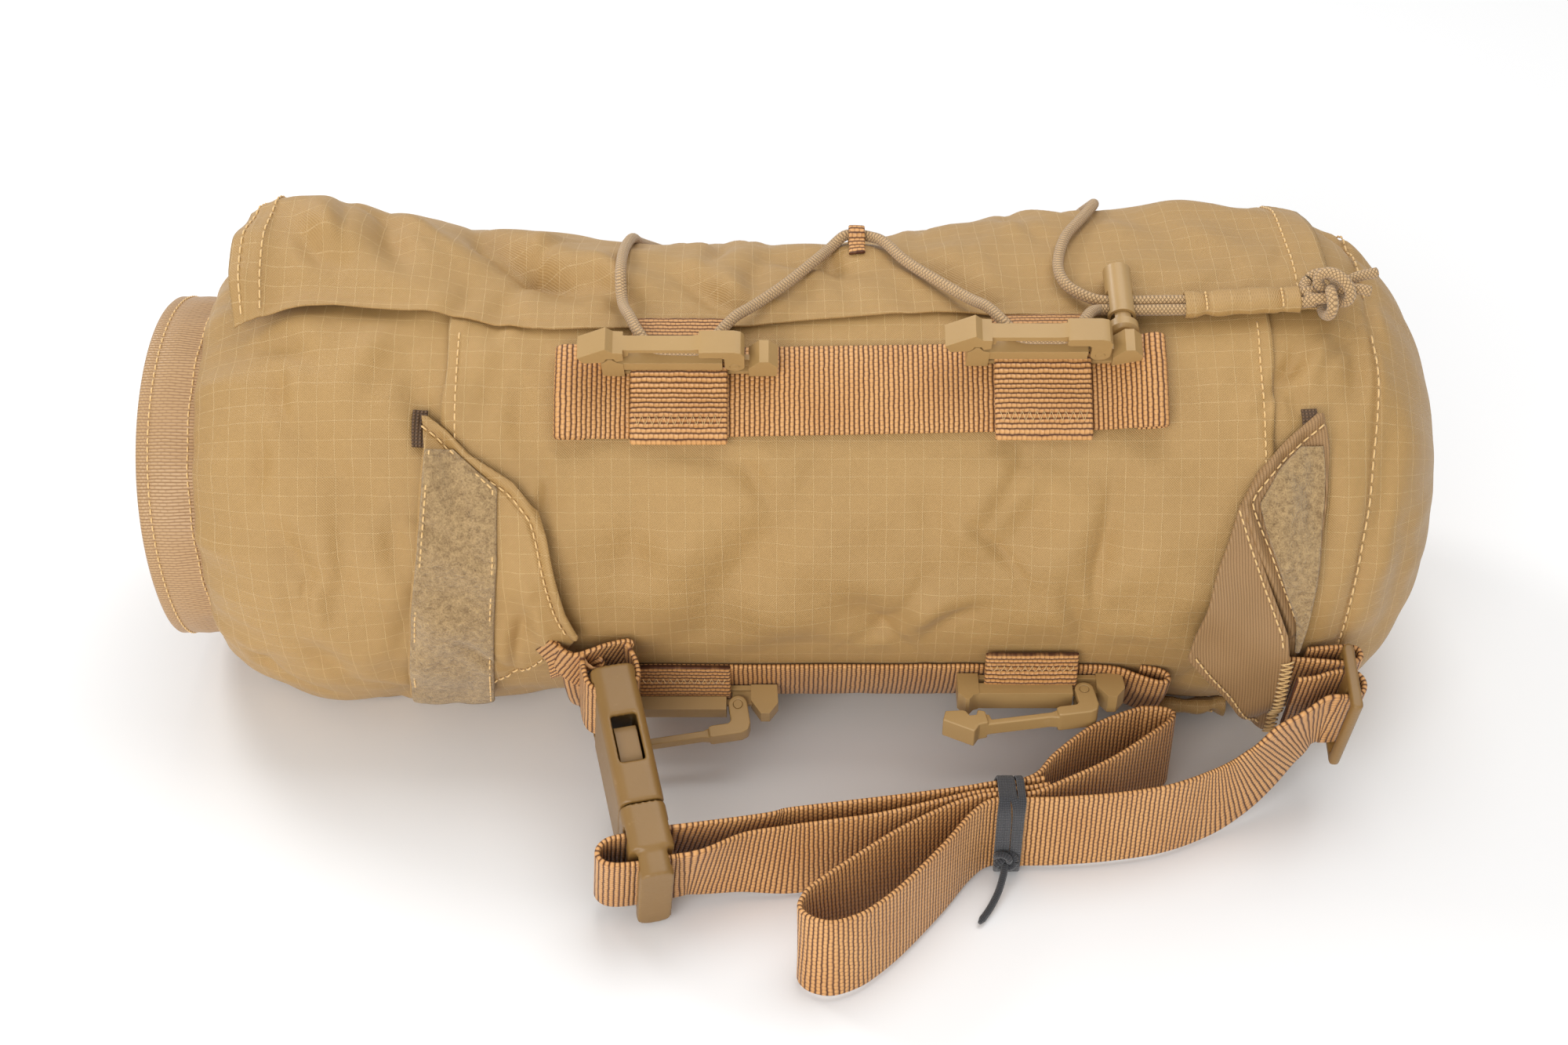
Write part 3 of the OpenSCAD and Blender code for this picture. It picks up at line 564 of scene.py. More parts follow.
# ---- Mouth collar: a ribbed tape folded double over the mouth's edge, two rows of stitching ----
# The profile is [along, out] from the collar's outer rim, swept round the mouth and sagging a little.
def ribbed(name, low, high, pitch, cells, dark, roughness=0.5, depth=0.25):
    """Woven webbing: ribs across its length, each broken into short rounded cells."""
    f = Finish(name, roughness, sheen=0.05)
    u, v, at = f.uv()
    bend = (f.noise(at, 300.0, 2.0) - 0.5) * 0.5
    row = (u + bend) / pitch
    along = (row * HALF_TURN).sin().abs()
    shift = (row.maths("FLOOR") * 0.5).fract()
    cell = ((v / cells + shift) * HALF_TURN).sin().abs()
    height = along.power(0.6) * 0.6 + cell.power(0.6) * 0.6 * along
    fuzz = f.noise(at, 1500.0, 2.0)
    cloudy = f.noise(at, 60.0, 3.0)
    # lit is a painted highlight on the raised cells; the dark colour in the gaps between them is painted
    # shade
    lit = (height * 0.8 + fuzz * 0.25).step(0.25, 0.95)
    body = f.blend(cloudy, low, high)
    colour = f.blend(lit, dark, body)
    return f.paint(colour, 0.62 - 0.2 * height, height + fuzz * 0.3, depth, 0.9)


# the third colour is the painted shade in the gaps of the weave
tape = ribbed("collar_tape", (0.42, 0.25, 0.112), (0.52, 0.325, 0.155), 0.9, 0.8, (0.28, 0.15, 0.062), 0.42,
    0.12)
A_DEGREE = 0.01745
COLLAR_R, COLLAR_L, COLLAR_W = 49.0, -196.0, 21.0
ca = np.linspace(-90, 270, 240, endpoint=False)
profile = np.array([(19.5, -1.2), (COLLAR_W, -0.5), (COLLAR_W, 0), (14, 0), (8, 0.1), (4.2, -0.05),
    (3.4, -0.2), (2.6, 0), (0.7, 0.1), (0.1, -0.4), (0.1, -1.1), (0.8, -1.5), (5, -1.5), (12, -1.5),
    (19.5, -1.4)])
turn = np.radians(ca)
sag = 0.5 * np.sin(2 * turn + 1) + 0.35 * np.sin(5 * turn)
slope = 2.2 * np.maximum(0, profile[:, 0] - 8)[:, None] / 13
cr = COLLAR_R + profile[:, 1][:, None] + sag - slope * (0.6 + 0.4 * np.sin(19 * turn))
collar_x = COLLAR_L + profile[:, 0][:, None] + 0.5 * np.sin(3 * turn + 2)
collar = np.stack([collar_x + 0 * cr, -cr * np.cos(turn), AXIS_Z + cr * np.sin(turn)], -1)
collar_uv = np.stack([np.broadcast_to(ca * COLLAR_R * A_DEGREE, cr.shape),
    np.cumsum(np.full(len(profile), 1.6))[:, None] + 0 * cr], -1)
piece("mouth_collar_tape", collar, collar_uv, tape, "tape", wrap_cols=True, flip=True,
    stands_for=("mouth_collar",))
for i, k in enumerate((6, 3)):
    stitches(f"collar_stitches_{i}", np.concatenate([collar[k], collar[k][:1]]), 2.4, 0.7)


# ---- Webbing: strips sewn to the panel, and keepers that hold the hooks ----
# The strips end in folded loops; each keeper passes over the foot of its hook and is bartacked.
# the third colour is the painted shade in the gaps of the weave
web = ribbed("woven_webbing", (0.56, 0.255, 0.075), (0.74, 0.40, 0.15), 1.3, 1.3, (0.085, 0.022, 0.004), 0.5,
    0.34)
WEB_W, WEB_T = 25.4, 1.4


def flat_section(width, thick):
    """A flat band's outline, its two edges half round: [across, up]."""
    side = np.linspace(-0.5, 0.5, 9) * (width - thick)
    bend = np.radians([-60, -20, 20, 60])
    right = np.stack([side[-1] + np.cos(bend) * thick / 2, np.sin(bend) * thick / 2], -1)
    low = np.stack([side, np.full(9, -thick / 2)], -1)
    return np.concatenate([low, right, -low, -right])


def webbing_on_sack(name, path, mid_a, length_x=True, width=WEB_W, thick=WEB_T, count=150, **given):
    """A band on the sack: path holds [x, lift] if it runs along the sack, or [angle, lift] if round it.
    Its width follows the sack's curve."""
    sec = flat_section(width, thick)
    q = np.asarray(path, float) * ([1, 1] if length_x else [GIRTH, 1])
    q = smooth(q, count)
    tan = unit(np.gradient(q, axis=0))
    nor = np.stack([-tan[:, 1], tan[:, 0]], -1)
    main = q[:, :1] + nor[:, :1] * sec[:, 1]
    lift = q[:, 1:] + nor[:, 1:] * sec[:, 1]
    across = np.broadcast_to(sec[:, 0], main.shape)
    if length_x:
        pts = sack(main, np.interp(main, *mid_a) + across / ACROSS, lift)
    else:
        pts = sack(mid_a + across, main / GIRTH, lift)
    uv = np.stack([np.broadcast_to(lengths(q)[:, None], main.shape), across], -1)
    return piece(name, pts, uv, web, "webbing", wrap_cols=True, caps=True, **given)


STRIP = 2.35
FOLD_LEFT = [(24, 0), (15, 0.4), (9, 2.2), (4, 3.4), (1.3, 3.0), (0.6, 1.9), (1.5, 0.6), (4, -0.2), (8, -0.5)]
FOLD_RIGHT = [(24, 0), (15, 0.4), (9, 2.4), (4, 3.8), (1.3, 3.4), (0.6, 2.1), (1.5, 0.8), (4, -0.1),
    (8, -0.5)]

for name, left, right, mid in (("upper_strip", -82, 78, ([-82, 78], [52.4, 55.0])),
        ("lower_strip", -83, 84, ([-83, 84], [-31, -31]))):
    loop_l = [(left + inwards, STRIP + up) for inwards, up in FOLD_LEFT]
    loop_r = [(right - inwards, STRIP + up) for inwards, up in FOLD_RIGHT]
    run = [(x, STRIP) for x in np.linspace(left + 34, right - 34, 7)]
    webbing_on_sack(f"{name}_webbing", loop_l[::-1] + run + loop_r, mid, count=330, stands_for=(name,))

RAIL = 3.35
KEEPERS = [("upper_left", -49.5, 41.5, 71, 59, 0), ("upper_right", 45.5, 42.5, 72, 61.5, 0),
    ("lower_left", -49.5, -49, -20, -32, 0.3), ("lower_right", 45.5, -47, -14, -25, 0.9)]
for label, x, low, high, hook_a, rise in KEEPERS:
    flat = STRIP + WEB_T + 0.15
    over = RAIL + rise + 1.4 + 0.3 + WEB_T / 2
    path = [(low + 3, flat - 0.2), (low + 0.5, flat - 0.3), (low - 0.4, flat + 0.35), (low + 0.4, flat + 1.0),
        (low + 3, flat + 0.95), (low + 5, flat + 0.9), (hook_a - 8, flat + 0.5), (hook_a - 4, over - 0.2),
        (hook_a, over), (hook_a + 4, over - 0.2), (hook_a + 8, flat + 0.3), (high, flat - 0.9)]
    webbing_on_sack(f"keeper_{label}_webbing", path, x, False, count=110, stands_for=(f"keeper_{label}",))
    bar_a = low + 4.2 if hook_a > 0 else high - 2.5
    row = np.linspace(x - 11.6, x + 11.6, 60)
    stitches(f"keeper_{label}_bartack", sack(row, bar_a, flat + 0.9 + WEB_T / 2 + 0.4), 0.95, 0.9, 2.4,
        thick=0.22)


# ---- Snap hooks, cord lock, buckle and slider: moulded nylon, satin, edges slightly rounded ----
# Each is a merged copy of its CAD node on the same body; the buckle and slider take a darker copy of the same
# nylon, which is painted shade.
def moulded(name, dark, light):
    """Satin nylon with a fine grain, flow marks and pale scuffs."""
    f = Finish(name, 0.36, coat=0.05)
    at = f.place()
    grain, flow = f.noise(at, 900.0, 3.0), f.noise(at, 60.0, 3.0)
    scuff = f.noise(at, 240.0, 5.0, 0.7).step(0.62, 0.78)
    colour = f.blend(scuff * 0.25, f.blend(flow, dark, light), (0.56, 0.40, 0.22))
    return f.paint(colour, 0.38 + 0.1 * grain + 0.12 * scuff, grain, 0.06, 0.5)


nylon = moulded("hook_nylon", (0.37, 0.225, 0.080), (0.43, 0.27, 0.105))
# painted shade: the same nylon made darker for the buckle, its prongs and the slider
shaded_nylon = moulded("buckle_nylon", (0.205, 0.108, 0.026), (0.255, 0.140, 0.038))


def softened(node, body, finish, edge=0.45, segments=3, melt=0):
    """A merged copy of a CAD node with its flat faces joined and its edges rounded over; melt, in
    smoothing steps, rounds a thick moulding more."""
    source = frame["nodes"][node]
    work = bmesh.new()
    work.from_mesh(source.data)
    bmesh.ops.remove_doubles(work, verts=work.verts, dist=0.004 * MM)
    bmesh.ops.dissolve_limit(work, angle_limit=np.radians(1.0), verts=work.verts, edges=work.edges)
    mesh = bpy.data.meshes.new(f"{node}_part")
    work.to_mesh(mesh)
    work.free()
    mesh.materials.clear()
    mesh.materials.append(finish)
    obj = put(f"{node}_part", mesh)
    if melt:
        modify(obj, "fine", "REMESH", mode="VOXEL", voxel_size=0.42 * MM, use_smooth_shade=True)
        modify(obj, "round", "SMOOTH", factor=0.5, iterations=melt)
    else:
        modify(obj, "edge", "BEVEL", width=edge * MM, segments=segments, limit_method="ANGLE",
            angle_limit=np.radians(35), use_clamp_overlap=True)
        modify(obj, "shade", "WEIGHTED_NORMAL", keep_sharp=True)
    mesh.polygons.foreach_set("use_smooth", np.ones(len(mesh.polygons), bool))
    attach(obj, body)
    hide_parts(node)
    return obj


body_of_node = {node: body for body, nodes in frame["record"]["behaviour"]["bodies"].items()
    for node in nodes}
for corner_name in ("upper_left", "upper_right", "lower_left", "lower_right"):
    softened(f"hook_frame_{corner_name}", "sack", nylon, 0.35)
    softened(f"hook_arm_{corner_name}", body_of_node[f"hook_arm_{corner_name}"], nylon, 0.4)
for node in ("upper_lock_barrel", "upper_lock_plunger"):
    softened(node, body_of_node[node], nylon, 0.5, 4)
softened("strap_slider", "sack", shaded_nylon, melt=8)
softened("buckle_female", "sack", shaded_nylon, melt=14)
softened("buckle_male", "buckle_male_half", shaded_nylon, melt=10)
softened("buckle_prong_top", "prong_top", shaded_nylon, 0.5)
softened("buckle_prong_bottom", "prong_bottom", shaded_nylon, 0.5)
steel = Finish("spring_steel", 0.3)
steel.shader.inputs["Metallic"].default_value = 1
brushed = steel.noise(steel.place(), 2000.0)
spring_node = frame["nodes"]["upper_lock_spring"]
spring_node.data.materials.clear()
spring_node.data.materials.append(steel.paint(steel.blend(brushed, (0.5, 0.5, 0.52), (0.65, 0.65, 0.66))))


# ---- Shock cord: braided cover over rubber, laced through hooks and loops to its lock and knot ----
# It is held all the way, so it is not a free cord. ROUTE is [x, angle, lift] points.
cord_finish = Finish("braided_cord", 0.6, sheen=0.3)
cu, cv, cat = cord_finish.uv()
left_lay = ((cu * 0.95 + cv * 0.70) * HALF_TURN).sin().abs()
right_lay = ((cu * 0.95 - cv * 0.70) * HALF_TURN).sin().abs()
braid = left_lay.maths("MINIMUM", right_lay).power(0.6)
cord_fuzz = cord_finish.noise(cat, 1600.0, 2.0)
braided = cord_finish.paint(cord_finish.blend((braid * 0.8 + cord_fuzz * 0.3).step(0.1, 0.9),
    (0.20, 0.112, 0.042), (0.56, 0.36, 0.17)), height=braid + cord_fuzz * 0.3, depth=0.22)
CORD_R = 1.5


def tube(name, path, radius, finish, slot, up=(0, 0.2, 1), sides=14, body="sack", loop=False, **given):
    """A round tube along a path; its sides are carried along without twisting."""
    tan = unit(np.gradient(path, axis=0)) if not loop else unit(np.roll(path, -1, 0) - np.roll(path, 1, 0))
    first = np.asarray(up, float)
    sides_at = np.empty_like(path)
    for i, t in enumerate(tan):
        first = first - t * (first @ t)
        first = first / np.linalg.norm(first)
        sides_at[i] = first
    other = np.cross(tan, sides_at)
    turn = np.linspace(0, 2 * np.pi, sides, endpoint=False)
    r = np.broadcast_to(np.asarray(radius, float), (len(path),))[:, None, None]
    pts = (path[:, None] + r * (np.cos(turn)[:, None] * sides_at[:, None] + np.sin(turn)[:, None]
        * other[:, None]))
    uv = np.stack(np.broadcast_arrays(lengths(path)[:, None], turn[None] * 1.5), -1)
    return piece(name, pts, uv, finish, slot, body=body, wrap_cols=True, wrap_rows=loop, caps=not loop,
        **given)


ROUTE = [(118, 74.8, 5.6), (108, 74.8, 4.4), (98, 74.8, 4.3), (86, 74.8, 4.4), (77, 74.8, 4.72),
    (70, 74.8, 5.05), (62, 74.8, 5.4), (57, 77, 4.6), (53, 81, 4.2), (52, 88, 4), (55, 98, 4), (61, 108, 3.8),
    (66, 118, 3.8), (66, 130, 3.8), (60, 143, 3.8), (50, 150, 4), (38, 152, 3.9), (20, 154.4, 3.8),
    (0, 155, 3.8), (-20, 154.4, 3.8), (-38, 152, 3.9), (-50, 150, 4), (-60, 142, 3.8), (-64, 128, 3.8),
    (-65, 112, 3.8), (-66, 96, 3.8), (-66, 84, 4.2), (-65, 75, 6), (-62.5, 68, 9.4), (-59.5, 62.5, 12.2),
    (-56, 59.5, 12.45), (-49, 59, 12.45), (-43, 59.3, 12.45), (-39.5, 62.4, 12.2), (-35, 68, 9.4),
    (-30, 73, 6.4), (-22, 81, 4.6), (-14, 91, 4), (-9.5, 98.5, 3.9), (-5.5, 102.2, 3.95), (-2, 103, 4),
    (1.5, 102.4, 3.95), (5.5, 99.5, 3.9), (11, 91.5, 4), (19, 83, 4.4), (27, 75.5, 6.4), (31.5, 70.5, 9.4),
    (35.5, 65, 12.2), (39, 61.9, 12.45), (46, 61.5, 12.45), (52, 61.9, 12.45), (55.6, 65.2, 12.2),
    (58, 68.8, 9.4), (60, 71.4, 6.4), (62, 72.2, 5.4), (70, 72.2, 5.05), (77, 72.2, 4.72), (86, 72.2, 4.4),
    (98, 72.2, 4.3), (108, 72.2, 4.4), (118, 72.2, 5.6)]
route = np.array(ROUTE)
laid = smooth(sack(route[:, 0], route[:, 1], route[:, 2] + 0.15), 620)
tube("shock_cord", laid, CORD_R, braided, "cord", stands_for=("upper_shock_cord",))

# the stopper knot: a cord that winds twice round itself, and two cut ends
wind = np.linspace(0, 2 * np.pi, 150, endpoint=False)
ring = 4.2 + 2.3 * np.cos(3 * wind)
knot_at = sack(120.8, 73.5, 7.6)
local = np.stack([2.5 * np.sin(3 * wind), ring * np.cos(2 * wind) * 1.15, ring * np.sin(2 * wind) * 0.9], -1)
tip = np.radians([28, 24])
turn_z = np.array([[np.cos(tip[0]), -np.sin(tip[0]), 0], [np.sin(tip[0]), np.cos(tip[0]), 0], [0, 0, 1]])
turn_y = np.array([[np.cos(tip[1]), 0, np.sin(tip[1])], [0, 1, 0], [-np.sin(tip[1]), 0, np.cos(tip[1])]])
tube("cord_knot", knot_at + local @ (turn_z @ turn_y).T, 1.5, braided, "cord", loop=True,
    stands_for=("upper_cord_knot",))
for i, (dy, dz) in enumerate(((2.0, 1.5), (-0.5, -0.5))):
    tail = (knot_at + np.array([[1, dy * 0.3, 0], [4.5, dy * 0.8, 1.0 + dz * 0.3],
        [8, dy * 1.6, 1.6 + dz * 0.6], [11.5 + dy, dy * 2.4, 1.4 + dz]]))
    tube(f"cord_end_{i}", smooth(tail, 24), 1.42, braided, "cord", sides=12)

# sewn tunnels the cord runs in, a cloth tube puckered by its bartacks
for name, x0, x1, mid, lift in (("upper_cord_channel", 84, 114, 73.5, 4.35),
        ("lower_cord_channel", 80, 104, -46, 3.6)):
    sec_a = np.radians(np.linspace(0, 360, 40, endpoint=False))
    cx = np.linspace(x0, x1, 70)[:, None]
    t = (cx - x0) / (x1 - x0)
    pinch = 1 - 0.12 * (np.exp(-((t - 0.18) / 0.04) ** 2) + np.exp(-((t - 0.84) / 0.04) ** 2))
    wide = 3.75 * pinch * (1 + 0.04 * np.sin(t * 25))
    tall = 2.15 * pinch * (1 + 0.10 * np.sin(t * 19 + 1))
    ca_ = mid + wide * np.sign(np.cos(sec_a)) * np.abs(np.cos(sec_a)) ** 0.7 / ACROSS
    cl = lift + tall * np.sign(np.sin(sec_a)) * np.abs(np.sin(sec_a)) ** 0.75 + 0.25
    chan = sack(cx + 0 * ca_, ca_, cl)
    inner_chan = sack(cx + 0 * ca_, mid + (ca_ - mid) * 0.86, lift + 0.25 + (cl - lift - 0.25) * 0.8)
    shell = np.concatenate([chan, inner_chan[::-1]])
    chan_uv = np.stack([np.concatenate([cx, cx[::-1]]) + 0 * shell[..., 0],
        np.broadcast_to(np.degrees(sec_a) * 0.03, shell.shape[:2])], -1)
    piece(f"{name}_cloth", shell, chan_uv, cloth, "cloth", wrap_cols=True, wrap_rows=True, stands_for=(name,))
    for i, at in enumerate((0.18, 0.84)):
        x = x0 + at * (x1 - x0)
        arc = np.linspace(mid - 3, mid + 3, 30)
        stitches(f"{name}_bartack_{i}", sack(np.full(30, x), arc, lift + 2.35 - 0.05 * (arc - mid) ** 2), 1.3,
            0.8)


# ---- Small webbing arches that carry the cord over the back ----
# Each passes over the cord and is sewn down on both sides of it.
for name, x, a, width in (("back_loop_left", -44, 151, 6), ("back_loop_centre", -2, 102.8, 4.5),
        ("back_loop_right", 44, 151, 6)):
    arch = [(a - 6.5, 2.5), (a - 4.2, 2.6), (a - 2.7, 3.6), (a - 1.9, 5.3), (a, 6.6), (a + 1.9, 5.3),
        (a + 2.7, 3.6), (a + 4.2, 2.6), (a + 6.5, 2.5)]
    webbing_on_sack(f"{name}_webbing", arch, x, False, width, 0.9, 90, stands_for=(name,))


# ---- Belt wings: cloth over the sack's ends, edges rolled and stitched, with fuzzy pile patches ----
# Outlines are [angle, x] points running downwards; the right wing also has a folded outer face.
def ribbed_twill(name):
    """Twill with raised ribs and a finer slanting line across them."""
    f = Finish(name, 0.6, sheen=0.08)
    u, v, at = f.uv()
    wave = f.noise(at, 120.0, 2.0)
    rib = ((u + v * 0.12 + wave * 0.5) * HALF_TURN / 0.75).sin().abs()
    fine = ((v - u * 0.4) * HALF_TURN / 0.45).sin().abs()
    fold = f.noise(at, 45.0, 3.0)
    # lit is a painted highlight on the tops of the ribs; the darkest colour, between them, is painted shade
    lit = rib * 0.6 + fine * 0.25
    return f.paint(f.blend(lit.step(0.0, 0.8), (0.20, 0.11, 0.039),
        f.blend(fold, (0.29, 0.16, 0.061), (0.37, 0.21, 0.085))), height=lit, depth=0.16)


twill = ribbed_twill("ribbed_twill")
pile_finish = Finish("loop_pile", 0.85, sheen=0.25)
pile_at = pile_finish.place()
tuft = pile_finish.noise(pile_at, 2100.0, 3.0, 0.7)
clump = pile_finish.noise(pile_at, 620.0, 4.0, 0.65)
pile = pile_finish.paint(pile_finish.blend((tuft * 0.6 + clump * 0.6).step(0.32, 0.84), (0.185, 0.106, 0.040),
    (0.54, 0.36, 0.165)), height=tuft * 0.8 + clump, depth=0.7)
hook_tape_finish = Finish("hook_tape", 0.6)
hu, hv = hook_tape_finish.uv()[:2]
bristle = ((hu * HALF_TURN / 0.9).sin() * (hv * HALF_TURN / 0.9).sin()).abs()
hook_tape = hook_tape_finish.paint(hook_tape_finish.blend(bristle, (0.07, 0.036, 0.016),
    (0.17, 0.093, 0.043)), height=bristle, depth=0.4)


def layer(name, left, right, lift, thick, finish, slot, rows=120, cols=50, **given):
    """A closed layer on the sack between two edges, each an [angle, x] list running downwards; lift gives
    the height of its upper face from x, angle and the distance to its left and right edges."""
    left, right = np.array(left, float), np.array(right, float)
    a = np.linspace(left[0, 0], left[-1, 0], rows)[:, None]
    lo = np.interp(-a, -left[:, 0], left[:, 1])
    hi = np.interp(-a, -right[:, 0], right[:, 1])
    t = (1 - np.cos(np.linspace(0, np.pi, cols))) / 2
    x = lo + (hi - lo) * t
    h = lift(x, a + 0 * x, x - lo, hi - x)
    end = np.minimum(1, np.minimum(x - lo, hi - x) / (thick * 0.6))
    top = h - thick * 0.5 * (1 - np.sqrt(np.maximum(0, 1 - (1 - end) ** 2)))
    low = h - thick + thick * 0.5 * (1 - np.sqrt(np.maximum(0, 1 - (1 - end) ** 2)))
    pts = np.concatenate([sack(x, a, top), sack(x, a, low)[:, ::-1]], 1)
    uv = np.concatenate([arc_uv(x, a + 0 * x), arc_uv(x, a + 0 * x)[:, ::-1]], 1)
    obj = piece(name, pts, uv, finish, slot, wrap_cols=True, caps=True, **given)
    return obj, sack(x, a, h)


def gap_from(points, x, a):
    """Distance in millimetres from grid points to a given line of [angle, x] points."""
    q = np.array(points, float)[:, ::-1]
    q = at_length(q, np.linspace(0, lengths(q)[-1], 90))
    return np.sqrt(((x[..., None] - q[:, 0]) ** 2 + ((a[..., None] - q[:, 1]) * GIRTH) ** 2).min(-1))


LEFT_EDGE = [(47, -116.5), (40, -115.5), (17, -118.5), (0, -122), (-20, -125), (-38, -127)]
LEFT_CURVE = [(47, -114.8), (43.8, -110), (38.5, -104), (32.3, -92.5), (26, -86), (20, -84), (13, -82.5),
    (2, -80), (-5, -77), (-13, -81.5), (-20.5, -91), (-27, -102), (-33, -104.5), (-38, -105)]
ROLLED = LEFT_CURVE[:9]


def left_lift(x, a, from_left, from_right):
    """A rolled edge down the curved side, which stands away from the sack, and a fold behind it."""
    d = gap_from(ROLLED, x, a)
    stand = 4.2 * hill(a, 8, 32) * np.exp(-d / 11)
    fold = 1.9 * np.exp(-((x + 89 + (a - 5) * 0.25) / 3.2) ** 2) * hill(a, -2, 24)
    return (3.1 + stand + fold + 0.75 * np.exp(-((d - 1.1) / 1.0) ** 2)
        - 0.5 * np.exp(-((d - 3.1) / 0.6) ** 2) + 0.35 * np.sin(a / 4.3 + x / 7) * hill(x, -94, 16))


left_wing, left_top = layer("left_wing_cloth", LEFT_EDGE, LEFT_CURVE, left_lift, 1.1, cloth, "cloth", 170, 90,
    stands_for=("left_wing",))
cloth_area(left_top) * 1.02
PILE_R = [(39.5, -108), (31, -96.5), (15, -97.2), (0, -99.2), (-20, -101.5), (-36.5, -103.6)]
PILE_L = [(39.5, -115), (31, -115.8), (17, -117.9), (0, -121.4), (-20, -124.4), (-36.5, -126.3)]
patch_lift = lambda x, a, from_left, from_right: left_lift(x, a, 0, 0) + 1.35 + 0.3 * np.minimum(1,
    np.minimum(from_left, from_right) / 2.5)
layer("left_wing_pile_patch", PILE_L, PILE_R, patch_lift, 1.3, pile, "pile", 110, 40,
    stands_for=("left_wing_pile",))
for name, edge, inset in (("left_pile_stitches", PILE_R, -1.1), ("left_pile_stitches_outer", PILE_L, 1.2)):
    ra, rx = (np.array(edge) + [0, inset]).T
    stitches(name, sack(rx, ra, left_lift(rx, ra, 0, 0) + 1.55), 2.2)


def beside(points, inset):
    """A line of [angle, x] points moved sideways by inset millimetres, as x and angle."""
    q = np.array(points, float)[:, ::-1] * [1, GIRTH]
    q = smooth(q, 70)
    t = unit(np.gradient(q, axis=0))
    q = q + np.stack([t[:, 1], -t[:, 0]], -1) * inset
    return q[:, 0], q[:, 1] / GIRTH


wx, wa = beside(ROLLED, 3.1)
stitches("left_wing_stitches", sack(wx, wa, left_lift(wx, wa, 0, 0) + 0.25), 2.6)
wx, wa = beside([(-33, -103.6), (-27, -100.5), (-20.5, -90.5), (-13, -82.5)][::-1], 2.4)
stitches("left_wing_hem_stitches", sack(wx, wa, left_lift(wx, wa, 0, 0) + 0.2), 2.6)

RIGHT_EDGE = [(47, 116), (42, 108.7), (35, 100.6), (28, 96.2), (17, 101.5), (7, 106.7), (-2, 111.6),
    (-12, 113.2), (-24, 113.5)]
RIGHT_SEAM = [(47, 118), (40, 119), (28, 119), (10, 118), (0, 117), (-12, 115.8), (-24, 115)]


def right_lift(x, a, from_left, from_right):
    """Raised and doubled along its binding."""
    d = gap_from(RIGHT_EDGE[:7], x, a)
    return (3.2 + 2.6 * hill(a, 20, 26) * np.exp(-d / 7) + 0.9 * np.exp(-((d - 1.2) / 1.0) ** 2)
        - 0.5 * np.exp(-((d - 3.2) / 0.6) ** 2))


right_wing, right_top = layer("right_wing_cloth", RIGHT_EDGE, RIGHT_SEAM, right_lift, 1.1, twill, "cloth",
    150, 60, stands_for=("right_wing",))
cloth_area(right_top) * 1.02
RPILE_L = [(40, 111.5), (35, 105.5), (28, 101.2), (20, 104.2), (10, 109), (1, 113.4), (-8, 114.8)]
RPILE_R = [(40, 117.2), (35, 118), (28, 118.2), (20, 118), (10, 117.5), (1, 116.8), (-8, 116.2)]
layer("right_wing_pile_patch", RPILE_L, RPILE_R, lambda x, a, l, r: right_lift(x, a, l, r) + 1.2, 1.2, pile,
    "pile", 90, 34, stands_for=("right_wing_pile",))
wx, wa = beside(RIGHT_EDGE[:7], -3.2)
stitches("right_wing_stitches", sack(wx, wa, right_lift(wx, wa, 0, 0) + 0.25), 2.6)

# the folded face of the right wing, standing away from the sack towards its lower point
FACE_L = [(28, 96.0), (20, 93.5), (11, 90.7), (0, 88), (-9, 86), (-16, 93), (-22.5, 100), (-29, 106),
    (-34, 111)]
FACE_R = [(28, 96.9), (20, 100.3), (11, 104.7), (0, 110.7), (-9, 112.9), (-16, 113.2), (-22.5, 113.5),
    (-29, 113.8), (-34, 114.1)]


def face_lift(x, a, from_left, from_right):
    """Further from the sack the lower it hangs."""
    away = ease((28 - a) / 50)
    return (4.6 + 4.6 * away + 1.7 * ease((x - 86) / 28) * away + 1.0 * np.exp(-from_right / 2.2)
        + 0.5 * np.exp(-from_left / 2.0) + 0.45 * np.sin((x + a * 0.5) / 3.6) * away)


face, face_top = layer("right_wing_face", FACE_L, FACE_R, face_lift, 1.3, twill, "cloth", 130, 60)
cloth_area(face_top) * 1.02
wa = np.linspace(27, -4, 50)
wx = np.interp(-wa, [-q[0] for q in FACE_R], [q[1] for q in FACE_R]) - 1.6
stitches("face_edge_stitches", sack(wx, wa, face_lift(wx, wa, 9, 1.6) + 0.2), 2.3)
wx = np.linspace(88, 110, 50)
wa = np.interp(wx, [86, 93, 100, 106, 111], [-9, -16, -22.5, -29, -34]) + 2.6
stitches("face_hem_stitches", sack(wx, wa, face_lift(wx, wa, 2, 9) + 0.2), 2.3)
wa = np.linspace(-5.5, -32.5, 50)
wx = np.linspace(111.4, 112.6, 50)
stitches("face_bartack", sack(wx, wa, face_lift(wx, wa, 9, 1.2) + 0.75), 0.95, 0.92, 3.0,
    thick=0.3)

# hook tape seen at the top of each wing pocket
for name, x0, x1 in (("left", -118.6, -115.2), ("right", 112.6, 116.6)):
    ta = np.linspace(40, 48.5, 40)[:, None]
    tx = np.linspace(x0, x1, 16)
    strip_points = sack(tx + 0 * ta, ta + 0 * tx, 1.75)
    piece(f"pocket_tape_{name}_strip", strip_points, arc_uv(tx + 0 * ta, ta + 0 * tx), hook_tape, "pile",
        wall=0.6, stands_for=(f"pocket_tape_{name}",))
